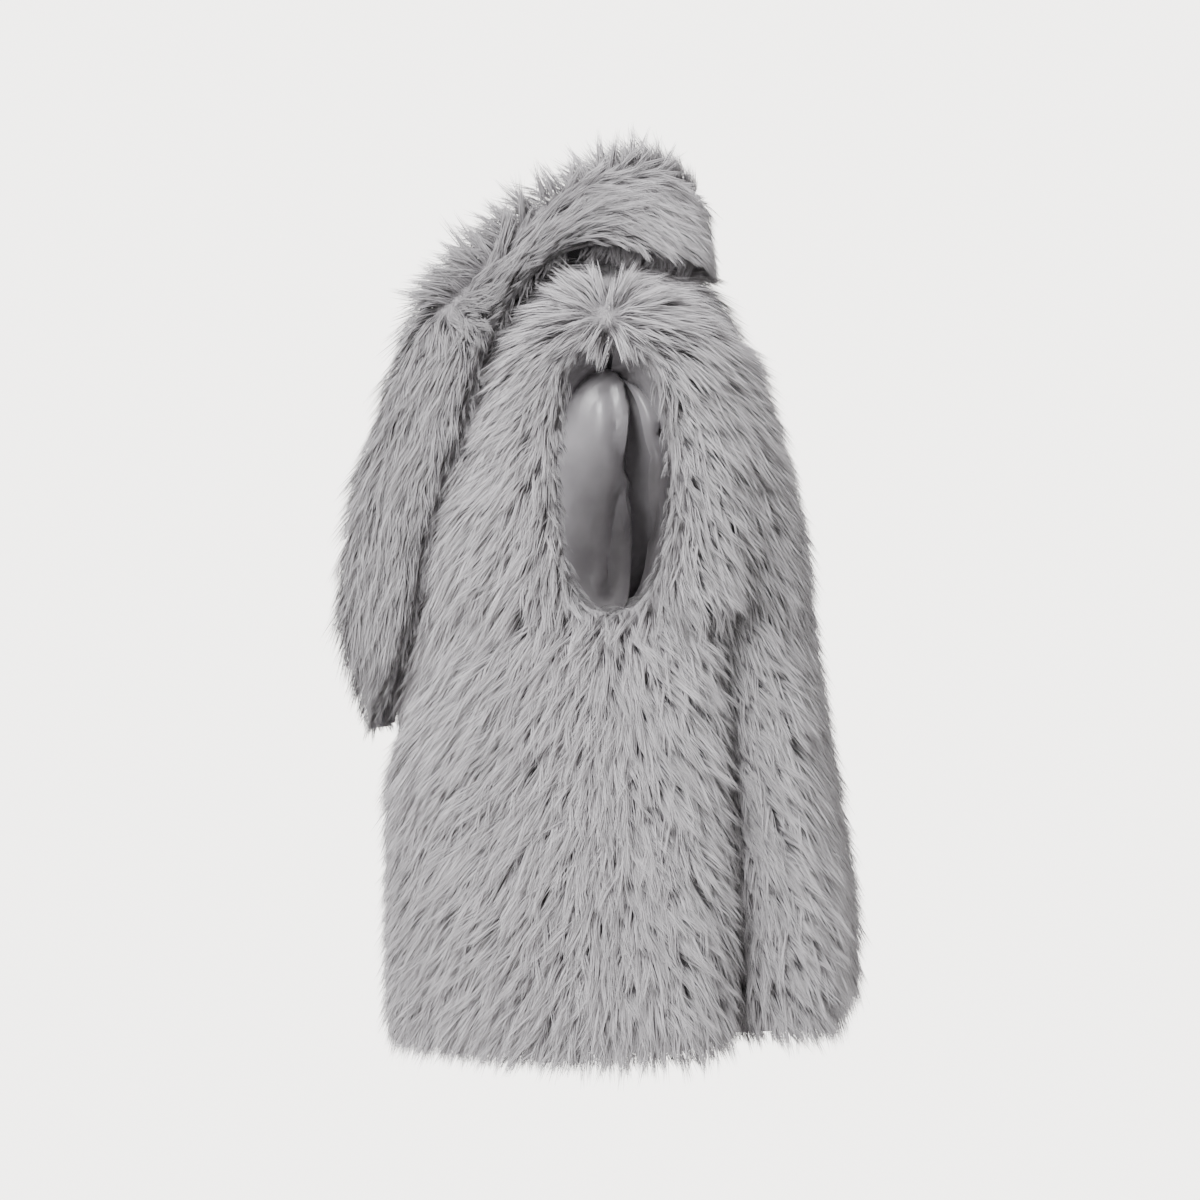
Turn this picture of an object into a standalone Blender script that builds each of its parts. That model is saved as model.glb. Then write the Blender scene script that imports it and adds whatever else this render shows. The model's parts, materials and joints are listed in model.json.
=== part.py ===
"""Faux fur vest, filled out as worn, as closed solids in metres.

The front faces -Y, the wearer's left is +X and up is +Z. The origin is the
middle of the neckline at the height of the shoulder seams' neck ends.

Every piece is a wall, lofted through closed sections worked out from short
tables. A fur wall runs from the backing cloth to the tips of the pile.
"""
import math
from collections import namedtuple

import bmesh
import bpy
import numpy as np

# Driving sizes of the whole vest.
PILE = 0.028               # fur wall, from backing cloth to the pile's tips
PRESSED_EDGE = 0.40        # share of the wall left at a free edge
EDGE_ROUND = 0.022         # width over which a free edge rounds off
SEAM = 0.0006              # gap between neighbouring pieces
SIDE_Y = 0.008             # side seam and shoulder seam
HEM_Z = -0.702
CENTRE_GAP = 0.0010        # half the gap between the two fronts
ARM_BASE_Z = -0.325        # lowest point of the armholes
ARM_MIDDLE_Y = 0.012
ARM_HALF_WIDTH = 0.050

# Collar and lapels: a wall that turns over a roll.
COLLAR_WALL = 0.024
ROLL_SLOT = 0.003          # space inside the turned-over wall
NECK_SET = 0.0165          # from the roll's middle in to a panel's backing
END_ROOM = 0.0060          # from the stand's foot to the panel's edge
PILE_RISE = 0.024          # way over which the pile rises beside the collar
NECK_PRESS = 0.0015        # pile left in the neck seam
NECK_SLOPE = 0.45          # how fast it rises from there

# Lining.
LINING_WALL = 0.0015
LINING_DEPTH = 0.0040      # from the fur's backing to the lining
LINING_SEAM = 0.0007       # the same where it is sewn down
LINING_FOLD = 0.004
SEWN_SHARE = 0.06          # share of a section over which it leaves the seam
LINING_WAVES = 3.0

# Grid sizes.
PANEL_ROWS = 29
COLLAR_STATIONS = 15
LAPEL_STATIONS = 22
ROLL_STEPS = 6
LEG_STEPS = 4
COVER_STEPS = 28
NORMAL_ROUNDS = 2
LINING_ROW_STEP = 2
NAPE_ROW = 24              # the back's last row that meets the middle plane
MERGE = 0.000001

# Places across a panel, from its inner end (0) to the side seam (1).
FRONT_PLACES = [0.0, 0.05, 0.12, 0.2, 0.28, 0.37, 0.46, 0.55, 0.64, 0.73, 0.82, 0.9, 0.96, 1.0]
BACK_PLACES = [0.0, 0.07, 0.14, 0.21, 0.28, 0.35, 0.42, 0.5, 0.58, 0.66, 0.74, 0.82, 0.9, 0.96, 1.0]

# The lining's places, which end just short of the seam and of the armhole.
LOOSE_PLACES = [0.920, 0.936, 0.952, 0.968, 0.984]
FRONT_LINING_PLACES = FRONT_PLACES[2:12] + LOOSE_PLACES
BACK_LINING_PLACES = BACK_PLACES[0:13] + LOOSE_PLACES

# The roll line of collar and lapel, from the middle of the nape (0), over the
# shoulder seam (3), to the lapel's lower end at the front edge (10).
# x y z: middle of the roll. bx by bz: way the roll points. ax ay az: outward.
# stand: length of the inner leg. fx fy fz: roll's middle to the free edge.
# under: what is left of the panel's pile below the collar. size: of the roll.
Roll = namedtuple("Roll", "x y z bx by bz ax ay az stand fx fy fz under size")
ROLLS = [
    Roll(0.000, 0.081, 0.066, 0.00, -0.10, 1.00, 0.00, 1.00, 0.00, 0.062, 0.000, 0.020, -0.062, 0.009, 1.0),
    Roll(0.058, 0.066, 0.074, -0.05, -0.08, 1.00, 0.65, 0.76, 0.00, 0.070, 0.024, 0.022, -0.068, 0.009, 1.0),
    Roll(0.090, 0.028, 0.078, -0.05, 0.00, 1.00, 1.00, 0.10, 0.00, 0.073, 0.032, 0.004, -0.066, 0.009, 1.0),
    Roll(0.098, -0.024, 0.058, -0.10, -0.45, 0.88, 0.97, -0.20, 0.00, 0.055, 0.036, 0.018, -0.044, 0.009, 1.0),
    Roll(0.101, -0.085, 0.012, -0.20, -0.75, 0.63, 0.90, -0.40, -0.10, 0.030, 0.050, 0.032, -0.018, 0.010, 1.0),
    Roll(0.103, -0.142, -0.045, -0.35, -0.88, 0.30, 0.88, -0.45, 0.00, 0.018, 0.056, 0.040, -0.026, 0.012, 1.0),
    Roll(0.098, -0.180, -0.145, -0.50, -0.86, 0.08, 0.85, -0.52, 0.00, 0.016, 0.060, 0.056, -0.004, 0.016, 1.0),
    Roll(0.086, -0.206, -0.227, -0.58, -0.81, 0.00, 0.81, -0.58, 0.00, 0.016, 0.064, 0.056, 0.000, 0.018, 1.0),
    Roll(0.067, -0.216, -0.319, -0.62, -0.78, 0.00, 0.78, -0.62, 0.00, 0.016, 0.064, 0.044, 0.000, 0.018, 1.0),
    Roll(0.050, -0.212, -0.378, -0.70, -0.70, -0.05, 0.70, -0.70, 0.00, 0.014, 0.054, 0.020, 0.000, 0.012, 0.9),
    Roll(0.036, -0.210, -0.430, -0.80, -0.60, -0.10, 0.60, -0.80, 0.00, 0.008, 0.026, -0.002, 0.004, 0.008, 0.6),
]
SHOULDER_STATION = 3.0
BREAK_STATION = 10.0

# Sections of a panel, hem first. roll: station on the roll line where the
# inner end lies, or -1 where ix iy iz give it. ir: reach of the first bend.
# ox oy oz: outer end. dx dy dz: way the section runs there. dr: its reach.
Section = namedtuple("Section", "roll ix iy iz ir ox oy oz dx dy dz dr")
FRONT_SECTIONS = [
    Section(-1, CENTRE_GAP, -0.172, -0.710, 0.150, 0.245, SIDE_Y, HEM_Z, 0.00, 1.00, 0.0, 0.110),
    Section(-1, CENTRE_GAP, -0.173, -0.604, 0.150, 0.240, SIDE_Y, -0.600, 0.00, 1.00, 0.0, 0.110),
    Section(-1, CENTRE_GAP, -0.174, -0.520, 0.140, 0.232, SIDE_Y, -0.520, 0.00, 1.00, 0.0, 0.105),
    Section(-1, CENTRE_GAP, -0.174, -0.450, 0.130, 0.225, SIDE_Y, -0.450, 0.00, 1.00, 0.0, 0.105),
    Section(9.0, 0, 0, 0, 0.100, 0.215, SIDE_Y, -0.375, 0.00, 1.00, 0.0, 0.110),
    Section(8.0, 0, 0, 0, 0.110, 0.209, SIDE_Y, ARM_BASE_Z, 0.00, 1.00, 0.0, 0.110),
    Section(7.7, 0, 0, 0, 0.110, 0.209, -0.012, -0.315, 0.06, 1.00, 0.0, 0.095),
    Section(7.4, 0, 0, 0, 0.105, 0.208, -0.028, -0.288, 0.12, 0.99, 0.0, 0.085),
    Section(7.0, 0, 0, 0, 0.100, 0.206, -0.036, -0.240, 0.25, 0.97, 0.0, 0.080),
    Section(6.2, 0, 0, 0, 0.095, 0.203, -0.038, -0.190, 0.40, 0.92, 0.0, 0.070),
    Section(5.6, 0, 0, 0, 0.075, 0.199, -0.032, -0.140, 0.55, 0.83, -0.1, 0.060),
    Section(5.0, 0, 0, 0, 0.060, 0.199, -0.028, -0.112, 0.62, 0.70, -0.35, 0.055),
    Section(4.3, 0, 0, 0, 0.040, 0.199, -0.019, -0.093, 0.66, 0.45, -0.60, 0.052),
    Section(3.6, 0, 0, 0, 0.025, 0.199, -0.006, -0.081, 0.64, 0.20, -0.74, 0.054),
    Section(3.0, 0, 0, 0, 0.015, 0.199, SIDE_Y, -0.077, 0.62, 0.00, -0.78, 0.056),
]
BACK_SECTIONS = [
    Section(-1, 0, 0.220, -0.684, 0.150, 0.245, SIDE_Y, HEM_Z, 0.00, -1.00, 0.0, 0.120),
    Section(-1, 0, 0.217, -0.594, 0.150, 0.240, SIDE_Y, -0.600, 0.00, -1.00, 0.0, 0.120),
    Section(-1, 0, 0.206, -0.520, 0.140, 0.232, SIDE_Y, -0.520, 0.00, -1.00, 0.0, 0.115),
    Section(-1, 0, 0.194, -0.450, 0.130, 0.225, SIDE_Y, -0.450, 0.00, -1.00, 0.0, 0.110),
    Section(-1, 0, 0.183, -0.375, 0.125, 0.215, SIDE_Y, -0.375, 0.00, -1.00, 0.0, 0.105),
    Section(-1, 0, 0.176, -0.325, 0.120, 0.209, SIDE_Y, ARM_BASE_Z, 0.00, -1.00, 0.0, 0.100),
    Section(-1, 0, 0.173, -0.300, 0.118, 0.209, 0.030, -0.315, 0.06, -1.00, 0.0, 0.085),
    Section(-1, 0, 0.170, -0.270, 0.115, 0.208, 0.050, -0.288, 0.12, -0.99, 0.0, 0.075),
    Section(-1, 0, 0.161, -0.220, 0.110, 0.206, 0.060, -0.240, 0.25, -0.97, 0.0, 0.065),
    Section(-1, 0, 0.145, -0.160, 0.100, 0.203, 0.062, -0.190, 0.40, -0.92, 0.0, 0.060),
    Section(-1, 0, 0.124, -0.100, 0.090, 0.199, 0.054, -0.140, 0.55, -0.83, -0.1, 0.055),
    Section(-1, 0, 0.096, -0.048, 0.075, 0.199, 0.046, -0.112, 0.62, -0.70, -0.35, 0.055),
    Section(0.0, 0, 0, 0, 0.045, 0.199, 0.034, -0.093, 0.66, -0.45, -0.60, 0.052),
    Section(1.4, 0, 0, 0, 0.020, 0.199, 0.021, -0.082, 0.64, -0.20, -0.74, 0.054),
    Section(3.0, 0, 0, 0, 0.015, 0.199, SIDE_Y, -0.077, 0.62, 0.00, -0.78, 0.056),
]

# Folds of a panel. across: place over the panel, 0 inner end to 1 side seam.
# spread: half width in the same measure. hem: how far it stands out at the
# hem, less than 0 for a trough. top: height at which it has died out.
Fold = namedtuple("Fold", "across spread hem top")
FRONT_FOLDS = [
    Fold(0.22, 0.10, 0.006, -0.42),
    Fold(0.45, 0.09, -0.008, -0.36),
    Fold(0.72, 0.10, 0.007, -0.40),
]
BACK_FOLDS = [
    Fold(0.18, 0.10, -0.010, -0.30),
    Fold(0.42, 0.10, 0.014, -0.22),
    Fold(0.63, 0.10, -0.024, -0.20),
    Fold(0.86, 0.10, 0.008, -0.36),
]

# Slack of the right side's lining, which hangs across behind its armhole.
# y: place, and deep: how far it hangs in from the armhole's line.
Slack = namedtuple("Slack", "y deep")
FRONT_SLACK = [
    Slack(-0.024, 0.034),
    Slack(-0.004, 0.044),
    Slack(0.014, 0.042),
    Slack(0.026, 0.028),
    Slack(0.044, 0.016),
]
BACK_SLACK = [
    Slack(0.064, 0.012),
    Slack(0.060, 0.027),
    Slack(0.053, 0.037),
    Slack(0.046, 0.040),
    Slack(0.039, 0.034),
]
SLACK_TOP = -0.079         # no slack above this height
SLACK_WALL = 0.0011        # wall where the lining hangs free
SLACK_LEAST = 0.52         # share of the armhole's width where the slack starts


def unit(vector):
    return vector / np.linalg.norm(vector)


def smooth(value):
    held = min(1.0, max(0.0, value))
    return held * held * (3.0 - 2.0 * held)


def read_table(table, place):
    """Every column of a table at a place between its rows, on a smooth curve."""
    rows = np.array(table, dtype=float)
    last = len(rows) - 1
    index = min(int(place), last - 1)
    part = place - index
    p0 = rows[max(index - 1, 0)]
    p1 = rows[index]
    p2 = rows[index + 1]
    p3 = rows[min(index + 2, last)]
    square = part * part
    cube = square * part
    return (
        (2 * cube - 3 * square + 1) * p1
        + (cube - 2 * square + part) * (p2 - p0) / 2.0
        + (3 * square - 2 * cube) * p2
        + (cube - square) * (p3 - p1) / 2.0
    )


def bezier(start, start_way, end, end_way, place):
    """A point on a cubic curve that leaves and arrives along two ways."""
    rest = 1.0 - place
    return (
        start * rest**3
        + (start + start_way) * 3 * rest**2 * place
        + (end - end_way) * 3 * rest * place**2
        + end * place**3
    )


def roll_at(station):
    """A row of the roll line, its middle, its upward and its outward way."""
    roll = Roll(*read_table(ROLLS, station))
    up = unit(np.array([roll.bx, roll.by, roll.bz]))
    outward = np.array([roll.ax, roll.ay, roll.az])
    outward = unit(outward - up * outward.dot(up))
    return roll, np.array([roll.x, roll.y, roll.z]), up, outward


def neck_edge(station):
    """Where a panel's backing meets the stand, and the way it leaves it."""
    roll, middle, up, outward = roll_at(station)
    foot = roll.stand + END_ROOM
    return middle - up * foot - outward * NECK_SET * roll.size, -up


def section_ends(sections, row):
    """Ends of a section and the ways it runs there, between the table's rows."""
    ends = []
    for section in sections:
        outer = np.array([section.ox, section.oy, section.oz])
        outer_way = unit(np.array([section.dx, section.dy, section.dz])) * section.dr
        if section.roll < 0:
            inner = np.array([section.ix, section.iy, section.iz])
            inner_way = np.array([section.ir, 0.0, 0.0])
        else:
            inner, way = neck_edge(section.roll)
            if section.roll == 0.0:
                way = np.array([1.0, 0.0, -0.1])
            inner_way = way * section.ir
        ends.append(np.concatenate([inner, inner_way, outer, outer_way]))
    values = read_table(ends, row * (len(sections) - 1))
    return values[0:3], values[3:6], values[6:9], values[9:12]


def fold_height(folds, across, height):
    """How far the folds move a point out. They die out at both seams."""
    seams = smooth(across / 0.10) * smooth((1.0 - across) / 0.12)
    total = 0.0
    for fold in folds:
        fade = smooth((fold.top - height) / (fold.top - HEM_Z))
        total += fold.hem * fade * math.exp(-(((across - fold.across) / fold.spread) ** 2))
    return total * seams


def grid_normals(grid):
    """Outward ways at a panel's points. Neighbours share them at their seams."""
    across = np.gradient(grid, axis=1)
    upward = np.gradient(grid, axis=0)
    facing = 1.0 if grid[0, -1, 1] > grid[0, 0, 1] else -1.0
    normals = np.cross(across, upward) * facing
    normals /= np.linalg.norm(normals, axis=2, keepdims=True)
    for _ in range(NORMAL_ROUNDS):
        padded = np.pad(normals, ((1, 1), (1, 1), (0, 0)), mode="edge")
        rows_beside = padded[:-2, 1:-1] + padded[2:, 1:-1]
        columns_beside = padded[1:-1, :-2] + padded[1:-1, 2:]
        normals = rows_beside + columns_beside + normals
        normals /= np.linalg.norm(normals, axis=2, keepdims=True)
    for i in np.flatnonzero(grid[:, -1, 2] < ARM_BASE_Z + 0.001):
        normals[i, -1] = unit(np.array([upward[i, -1, 2], 0.0, -upward[i, -1, 0]]))
    for j in range(grid.shape[1]):
        ridge = across[-1, j]
        normals[-1, j] = unit(np.array([-ridge[2], 0.0, ridge[0]]))
    return normals


def panel_grid(sections, folds, row_count, places):
    """Backing points of a panel, row by row from the hem, and its outward ways."""
    grid = np.zeros((row_count, len(places), 3))
    for i in range(row_count):
        ends = section_ends(sections, i / (row_count - 1))
        for j, across in enumerate(places):
            grid[i, j] = bezier(*ends, across)
    normals = grid_normals(grid)
    for i in range(row_count):
        for j, across in enumerate(places):
            grid[i, j] += normals[i, j] * fold_height(folds, across, grid[i, j, 2])
    return grid, grid_normals(grid)


def neck_cover(first, last):
    """The panel's edge under the collar: points, pile left there and the fall's reach."""
    cover = []
    for step in range(COVER_STEPS + 1):
        station = first + (last - first) * step / COVER_STEPS
        roll = roll_at(station)[0]
        fall = math.hypot(roll.fx, roll.fy, roll.fz)
        cover.append((neck_edge(station)[0], roll.under, fall))
    return cover


def edge_share(distance):
    """Rounding of the wall near a free edge."""
    inside = min(1.0, distance / EDGE_ROUND)
    return PRESSED_EDGE + (1.0 - PRESSED_EDGE) * math.sqrt(1.0 - (1.0 - inside) ** 2)


def pile_depth(grid, cover):
    """Depth of the pile at each point: less at free edges and under the collar."""
    rows, columns, _ = grid.shape
    depth = np.zeros((rows, columns))
    for i in range(rows):
        run = np.concatenate([[0.0], np.cumsum(np.linalg.norm(np.diff(grid[i], axis=0), axis=1))])
        for j in range(columns):
            share = edge_share(np.linalg.norm(grid[i, j] - grid[0, j]))
            if grid[i, -1, 2] > ARM_BASE_Z + 0.001:
                share = min(share, edge_share(run[-1] - run[j]))
            gap, under, fall = min(
                (np.linalg.norm(grid[i, j] - edge), left, reach) for edge, left, reach in cover
            )
            open_pile = smooth((gap - fall) / PILE_RISE)
            pressed = NECK_PRESS + NECK_SLOPE * gap
            depth[i, j] = min(share * PILE, under + (PILE - under) * open_pile, pressed)
    return depth


def make_material(name, colour, roughness):
    material = bpy.data.materials.new(name)
    material.use_nodes = True
    shader = material.node_tree.nodes["Principled BSDF"]
    shader.inputs["Base Color"].default_value = (*colour, 1.0)
    shader.inputs["Roughness"].default_value = roughness
    shader.inputs["Metallic"].default_value = 0.0
    return material


def loft_wall(work, inside, outside, open_rows):
    """A wall between two grids of points: a loft through their rows.

    Both faces are cut into triangles the same way, so a thin wall stays even.
    In its first open_rows the inner end has no face, so that a half joins on.
    """
    rows, columns, _ = inside.shape
    loops = []
    for i in range(rows):
        section = list(inside[i]) + list(outside[i][::-1])
        loops.append([work.verts.new(point) for point in section])
    around = 2 * columns
    for i in range(rows - 1):
        low = loops[i]
        high = loops[i + 1]
        for k in range(around):
            following = (k + 1) % around
            if following == 0 and i < open_rows:
                continue
            if k < columns:
                work.faces.new([low[k], low[following], high[following]])
                work.faces.new([low[k], high[following], high[k]])
            else:
                work.faces.new([low[k], low[following], high[k]])
                work.faces.new([low[following], high[following], high[k]])
    for loop in (loops[0], loops[-1]):
        for j in range(columns - 1):
            work.faces.new([loop[j], loop[j + 1], loop[around - 2 - j], loop[around - 1 - j]])


def make_item(name, work, material):
    """The named solid of a finished mesh, facing outwards."""
    bmesh.ops.recalc_face_normals(work, faces=work.faces)
    mesh = bpy.data.meshes.new(name)
    work.to_mesh(mesh)
    work.free()
    mesh.shade_smooth()
    mesh.set_sharp_from_angle(angle=math.radians(50))
    mesh.materials.append(material)
    item = bpy.data.objects.new(name, mesh)
    collection.objects.link(item)
    return item


def mirrored(grid):
    """The same grid on the wearer's right."""
    return grid * np.array([-1.0, 1.0, 1.0])


def make_wall(name, inside, outside, material):
    """A closed wall between two grids of points."""
    work = bmesh.new()
    loft_wall(work, inside, outside, 0)
    return make_item(name, work, material)


def make_back(name, left, right, joined_rows, material):
    """Two halves, each an inner and an outer grid, joined on the middle plane.

    Above joined_rows each half goes on alone beside the neck. The second half
    is mirrored over.
    """
    work = bmesh.new()
    for faces, side in ((left, 1.0), (right, -1.0)):
        grids = []
        for face in faces:
            grid = face * np.array([side, 1.0, 1.0])
            grid[: joined_rows + 1, 0, 0] = 0.0
            grids.append(grid)
        loft_wall(work, *grids, joined_rows)
    middle = [point for point in work.verts if abs(point.co.x) < MERGE]
    bmesh.ops.remove_doubles(work, verts=middle, dist=MERGE)
    return make_item(name, work, material)


def roll_section(station):
    """Mid line of the turned-over wall and its outward ways, foot to free edge."""
    roll, middle, up, outward = roll_at(station)
    radius = (COLLAR_WALL + ROLL_SLOT) / 2.0 * roll.size
    points = []
    for step in range(LEG_STEPS):
        points.append(middle - outward * radius - up * roll.stand * (1.0 - step / LEG_STEPS))
    for step in range(ROLL_STEPS + 1):
        angle = math.pi * step / ROLL_STEPS
        points.append(middle - outward * radius * math.cos(angle) + up * radius * math.sin(angle))
    start = points[-1]
    end = middle + np.array([roll.fx, roll.fy, roll.fz])
    reach = np.linalg.norm(end - start) * 0.4
    for step in range(1, LEG_STEPS + 2):
        place = step / (LEG_STEPS + 1)
        points.append(bezier(start, -up * reach, end, unit(end - start) * reach, place))
    points = np.array(points)
    ways = np.gradient(points, axis=0)
    ways /= np.linalg.norm(ways, axis=1, keepdims=True)
    side = unit(np.cross(up, outward))
    normals = np.cross(side, ways)
    return points, normals, roll.size


def collar_walls(first, last, count):
    """Inner and outer points of the collar's wall between two stations."""
    inside = []
    outside = []
    for i in range(count):
        points, normals, size = roll_section(first + (last - first) * i / (count - 1))
        run = np.concatenate([[0.0], np.cumsum(np.linalg.norm(np.diff(points, axis=0), axis=1))])
        shares = [edge_share(min(run[-1] - at, at + EDGE_ROUND * 0.4)) for at in run]
        half = np.array(shares)[:, None] * COLLAR_WALL * size / 2.0
        inside.append(points + normals * half)
        outside.append(points - normals * half)
    return np.array(inside), np.array(outside)


def lining_base(sections, folds, places):
    """Every second row of a panel's points, short of its hem and its ridge."""
    grid, ways = panel_grid(sections, folds, PANEL_ROWS, places)
    return grid[1:-2:LINING_ROW_STEP], ways[1:-2:LINING_ROW_STEP]


def lining_walls(grid, normals, places, slack):
    """The lining's two faces on a panel's inner side, with soft upright folds.

    slack: where the last points hang behind the armhole, or nothing.
    """
    facing = 1.0 if grid[0, -1, 1] > grid[0, 0, 1] else -1.0
    loose = np.array([smooth((places[-1] - place) / SEWN_SHARE) for place in places])
    waves = np.sin(np.array(places) * math.pi * LINING_WAVES) ** 2
    sink = LINING_SEAM + (LINING_DEPTH - LINING_SEAM + LINING_FOLD * waves) * loose
    outer = grid - normals * sink[None, :, None]
    inner = outer - normals * LINING_WALL
    for i in range(len(outer)):
        edge = outer[i, -1].copy()
        width = min(1.0, (ARM_MIDDLE_Y - edge[1]) * facing / ARM_HALF_WIDTH)
        if not slack or width < SLACK_LEAST or edge[2] > SLACK_TOP:
            continue
        for j, (y, deep) in enumerate(slack):
            column = len(places) - len(slack) + j
            inward = deep * width
            outer[i, column] = [edge[0] - inward, ARM_MIDDLE_Y + (y - ARM_MIDDLE_Y) * width, edge[2]]
        side = np.cross(np.gradient(outer[i], axis=0), [0.0, 0.0, 1.0]) * facing
        side /= np.linalg.norm(side, axis=1, keepdims=True)
        first = len(places) - len(slack) - 1
        inner[i, first:] = outer[i, first:] - side[first:] * SLACK_WALL
    return inner, outer


for leftover in list(bpy.data.objects):
    bpy.data.objects.remove(leftover, do_unlink=True)
collection = bpy.data.collections.new("faux_fur_vest")
bpy.context.scene.collection.children.link(collection)
fur = make_material("grey_fur", (0.39, 0.38, 0.39), 0.9)
satin = make_material("grey_satin", (0.22, 0.21, 0.23), 0.35)

# The fronts, from the front edge or the roll line to side seam and armhole.
front, front_ways = panel_grid(FRONT_SECTIONS, FRONT_FOLDS, PANEL_ROWS, FRONT_PLACES)
front_tips = front + front_ways * pile_depth(front, neck_cover(SHOULDER_STATION, BREAK_STATION))[:, :, None]
for grid in (front, front_tips):
    grid[:, :, 0] = np.maximum(grid[:, :, 0], CENTRE_GAP)
    grid[:, :, 1] = np.minimum(grid[:, :, 1], SIDE_Y - SEAM / 2.0)
make_wall("front_left", front, front_tips, fur)
make_wall("front_right", mirrored(front), mirrored(front_tips), fur)

# The back, cut on the fold.
back, back_ways = panel_grid(BACK_SECTIONS, BACK_FOLDS, PANEL_ROWS, BACK_PLACES)
back_tips = back + back_ways * pile_depth(back, neck_cover(0.0, SHOULDER_STATION))[:, :, None]
for grid in (back, back_tips):
    grid[:, :, 1] = np.maximum(grid[:, :, 1], SIDE_Y + SEAM / 2.0)
make_back("back", (back, back_tips), (back, back_tips), NAPE_ROW, fur)

# The collar's back part, from shoulder seam to shoulder seam round the nape.
collar_in, collar_out = collar_walls(0.0, SHOULDER_STATION - 0.01, COLLAR_STATIONS)
collar_in = np.concatenate([mirrored(collar_in)[:0:-1], collar_in])
collar_out = np.concatenate([mirrored(collar_out)[:0:-1], collar_out])
make_wall("collar_back", collar_in, collar_out, fur)

# The lapels, from the shoulder seams down to the break of the front edge.
lapel_in, lapel_out = collar_walls(SHOULDER_STATION + 0.01, BREAK_STATION, LAPEL_STATIONS)
make_wall("lapel_left", lapel_in, lapel_out, fur)
make_wall("lapel_right", mirrored(lapel_in), mirrored(lapel_out), fur)

# The lining: two fronts and a back. On the right it hangs slack behind the armhole.
front_base = lining_base(FRONT_SECTIONS, FRONT_FOLDS, FRONT_LINING_PLACES)
back_base = lining_base(BACK_SECTIONS, BACK_FOLDS, BACK_LINING_PLACES)
left_front = lining_walls(*front_base, FRONT_LINING_PLACES, [])
right_front = lining_walls(*front_base, FRONT_LINING_PLACES, FRONT_SLACK)
left_back = lining_walls(*back_base, BACK_LINING_PLACES, [])
right_back = lining_walls(*back_base, BACK_LINING_PLACES, BACK_SLACK)
make_wall("lining_front_left", *left_front, satin)
make_wall("lining_front_right", *[mirrored(face) for face in right_front], satin)
make_back("lining_back", left_back, right_back, NAPE_ROW // LINING_ROW_STEP - 1, satin)
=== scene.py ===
"""Faux fur vest in long grey pile, filled out as worn, with no wearer.

The front faces -Y, the wearer's left is +X and up is +Z, in metres, as in the
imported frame. Each cut piece is a wall of backing cloth and underfur, and its
long outer hair grows on that wall in locks.
"""
import json
import math
from collections import namedtuple

import bmesh
import bpy
import numpy as np
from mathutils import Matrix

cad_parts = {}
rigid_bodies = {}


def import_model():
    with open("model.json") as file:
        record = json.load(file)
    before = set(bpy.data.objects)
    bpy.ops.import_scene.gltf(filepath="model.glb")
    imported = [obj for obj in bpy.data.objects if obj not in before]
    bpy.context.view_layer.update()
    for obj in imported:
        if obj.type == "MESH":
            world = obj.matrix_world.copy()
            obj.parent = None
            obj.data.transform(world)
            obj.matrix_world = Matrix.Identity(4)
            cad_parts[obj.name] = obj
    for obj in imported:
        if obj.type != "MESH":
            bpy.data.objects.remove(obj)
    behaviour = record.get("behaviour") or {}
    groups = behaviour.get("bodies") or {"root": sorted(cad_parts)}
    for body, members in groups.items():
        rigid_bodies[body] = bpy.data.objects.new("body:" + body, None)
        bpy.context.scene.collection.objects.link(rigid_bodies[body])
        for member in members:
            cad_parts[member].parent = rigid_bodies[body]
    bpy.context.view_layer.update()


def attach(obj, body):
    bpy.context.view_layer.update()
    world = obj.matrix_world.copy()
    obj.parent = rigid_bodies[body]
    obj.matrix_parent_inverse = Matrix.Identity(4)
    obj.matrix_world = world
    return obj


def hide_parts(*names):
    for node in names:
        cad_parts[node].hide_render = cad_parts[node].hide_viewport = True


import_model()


# The two fronts.
# Each is one cut piece of faux fur, a knitted polyester backing with a dense
# underfur and a long modacrylic pile. It runs from the centre front to the
# side seam and up over half the armhole to the shoulder seam.
PILE = 0.028  # from the backing cloth to the tips of the pile
UNDERFUR = 0.36  # share of that which the dense underfur fills
PRESSED_EDGE = 0.40  # share of the pile's depth left at a free edge
EDGE_ROUND = 0.022  # width over which a free edge rounds off
SIDE_Y = 0.008  # side seam and shoulder seam
HEM_Z = -0.702
CENTRE_GAP = 0.0010  # half the gap between the two fronts
ARM_BASE_Z = -0.325  # lowest point of the armholes
COLLAR_WALL = 0.024
ROLL_SLOT = 0.003
NECK_SET = 0.0165
END_ROOM = 0.0060
PILE_RISE = 0.024  # way over which the pile rises beside the collar
NECK_PRESS = 0.0015
NECK_SLOPE = 0.45
PANEL_ROWS = 57
NAPE_ROW = 48  # the back's last row that meets the middle plane
COVER_STEPS = 28
NORMAL_ROUNDS = 6
SHORTEST = 1e-9  # least length that a vector is divided by
CENTRE_FADE = 0.10  # shares of a panel over which its folds die out
SIDE_FADE = 0.12
ARM_MARGIN = 0.001  # tells heights at the armhole's base from those past it
SAME_PLACE = 0.000001  # points nearer than this are one
SHARP_ANGLE = 60.0  # degrees, past which a wall's edge is drawn sharp

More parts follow.
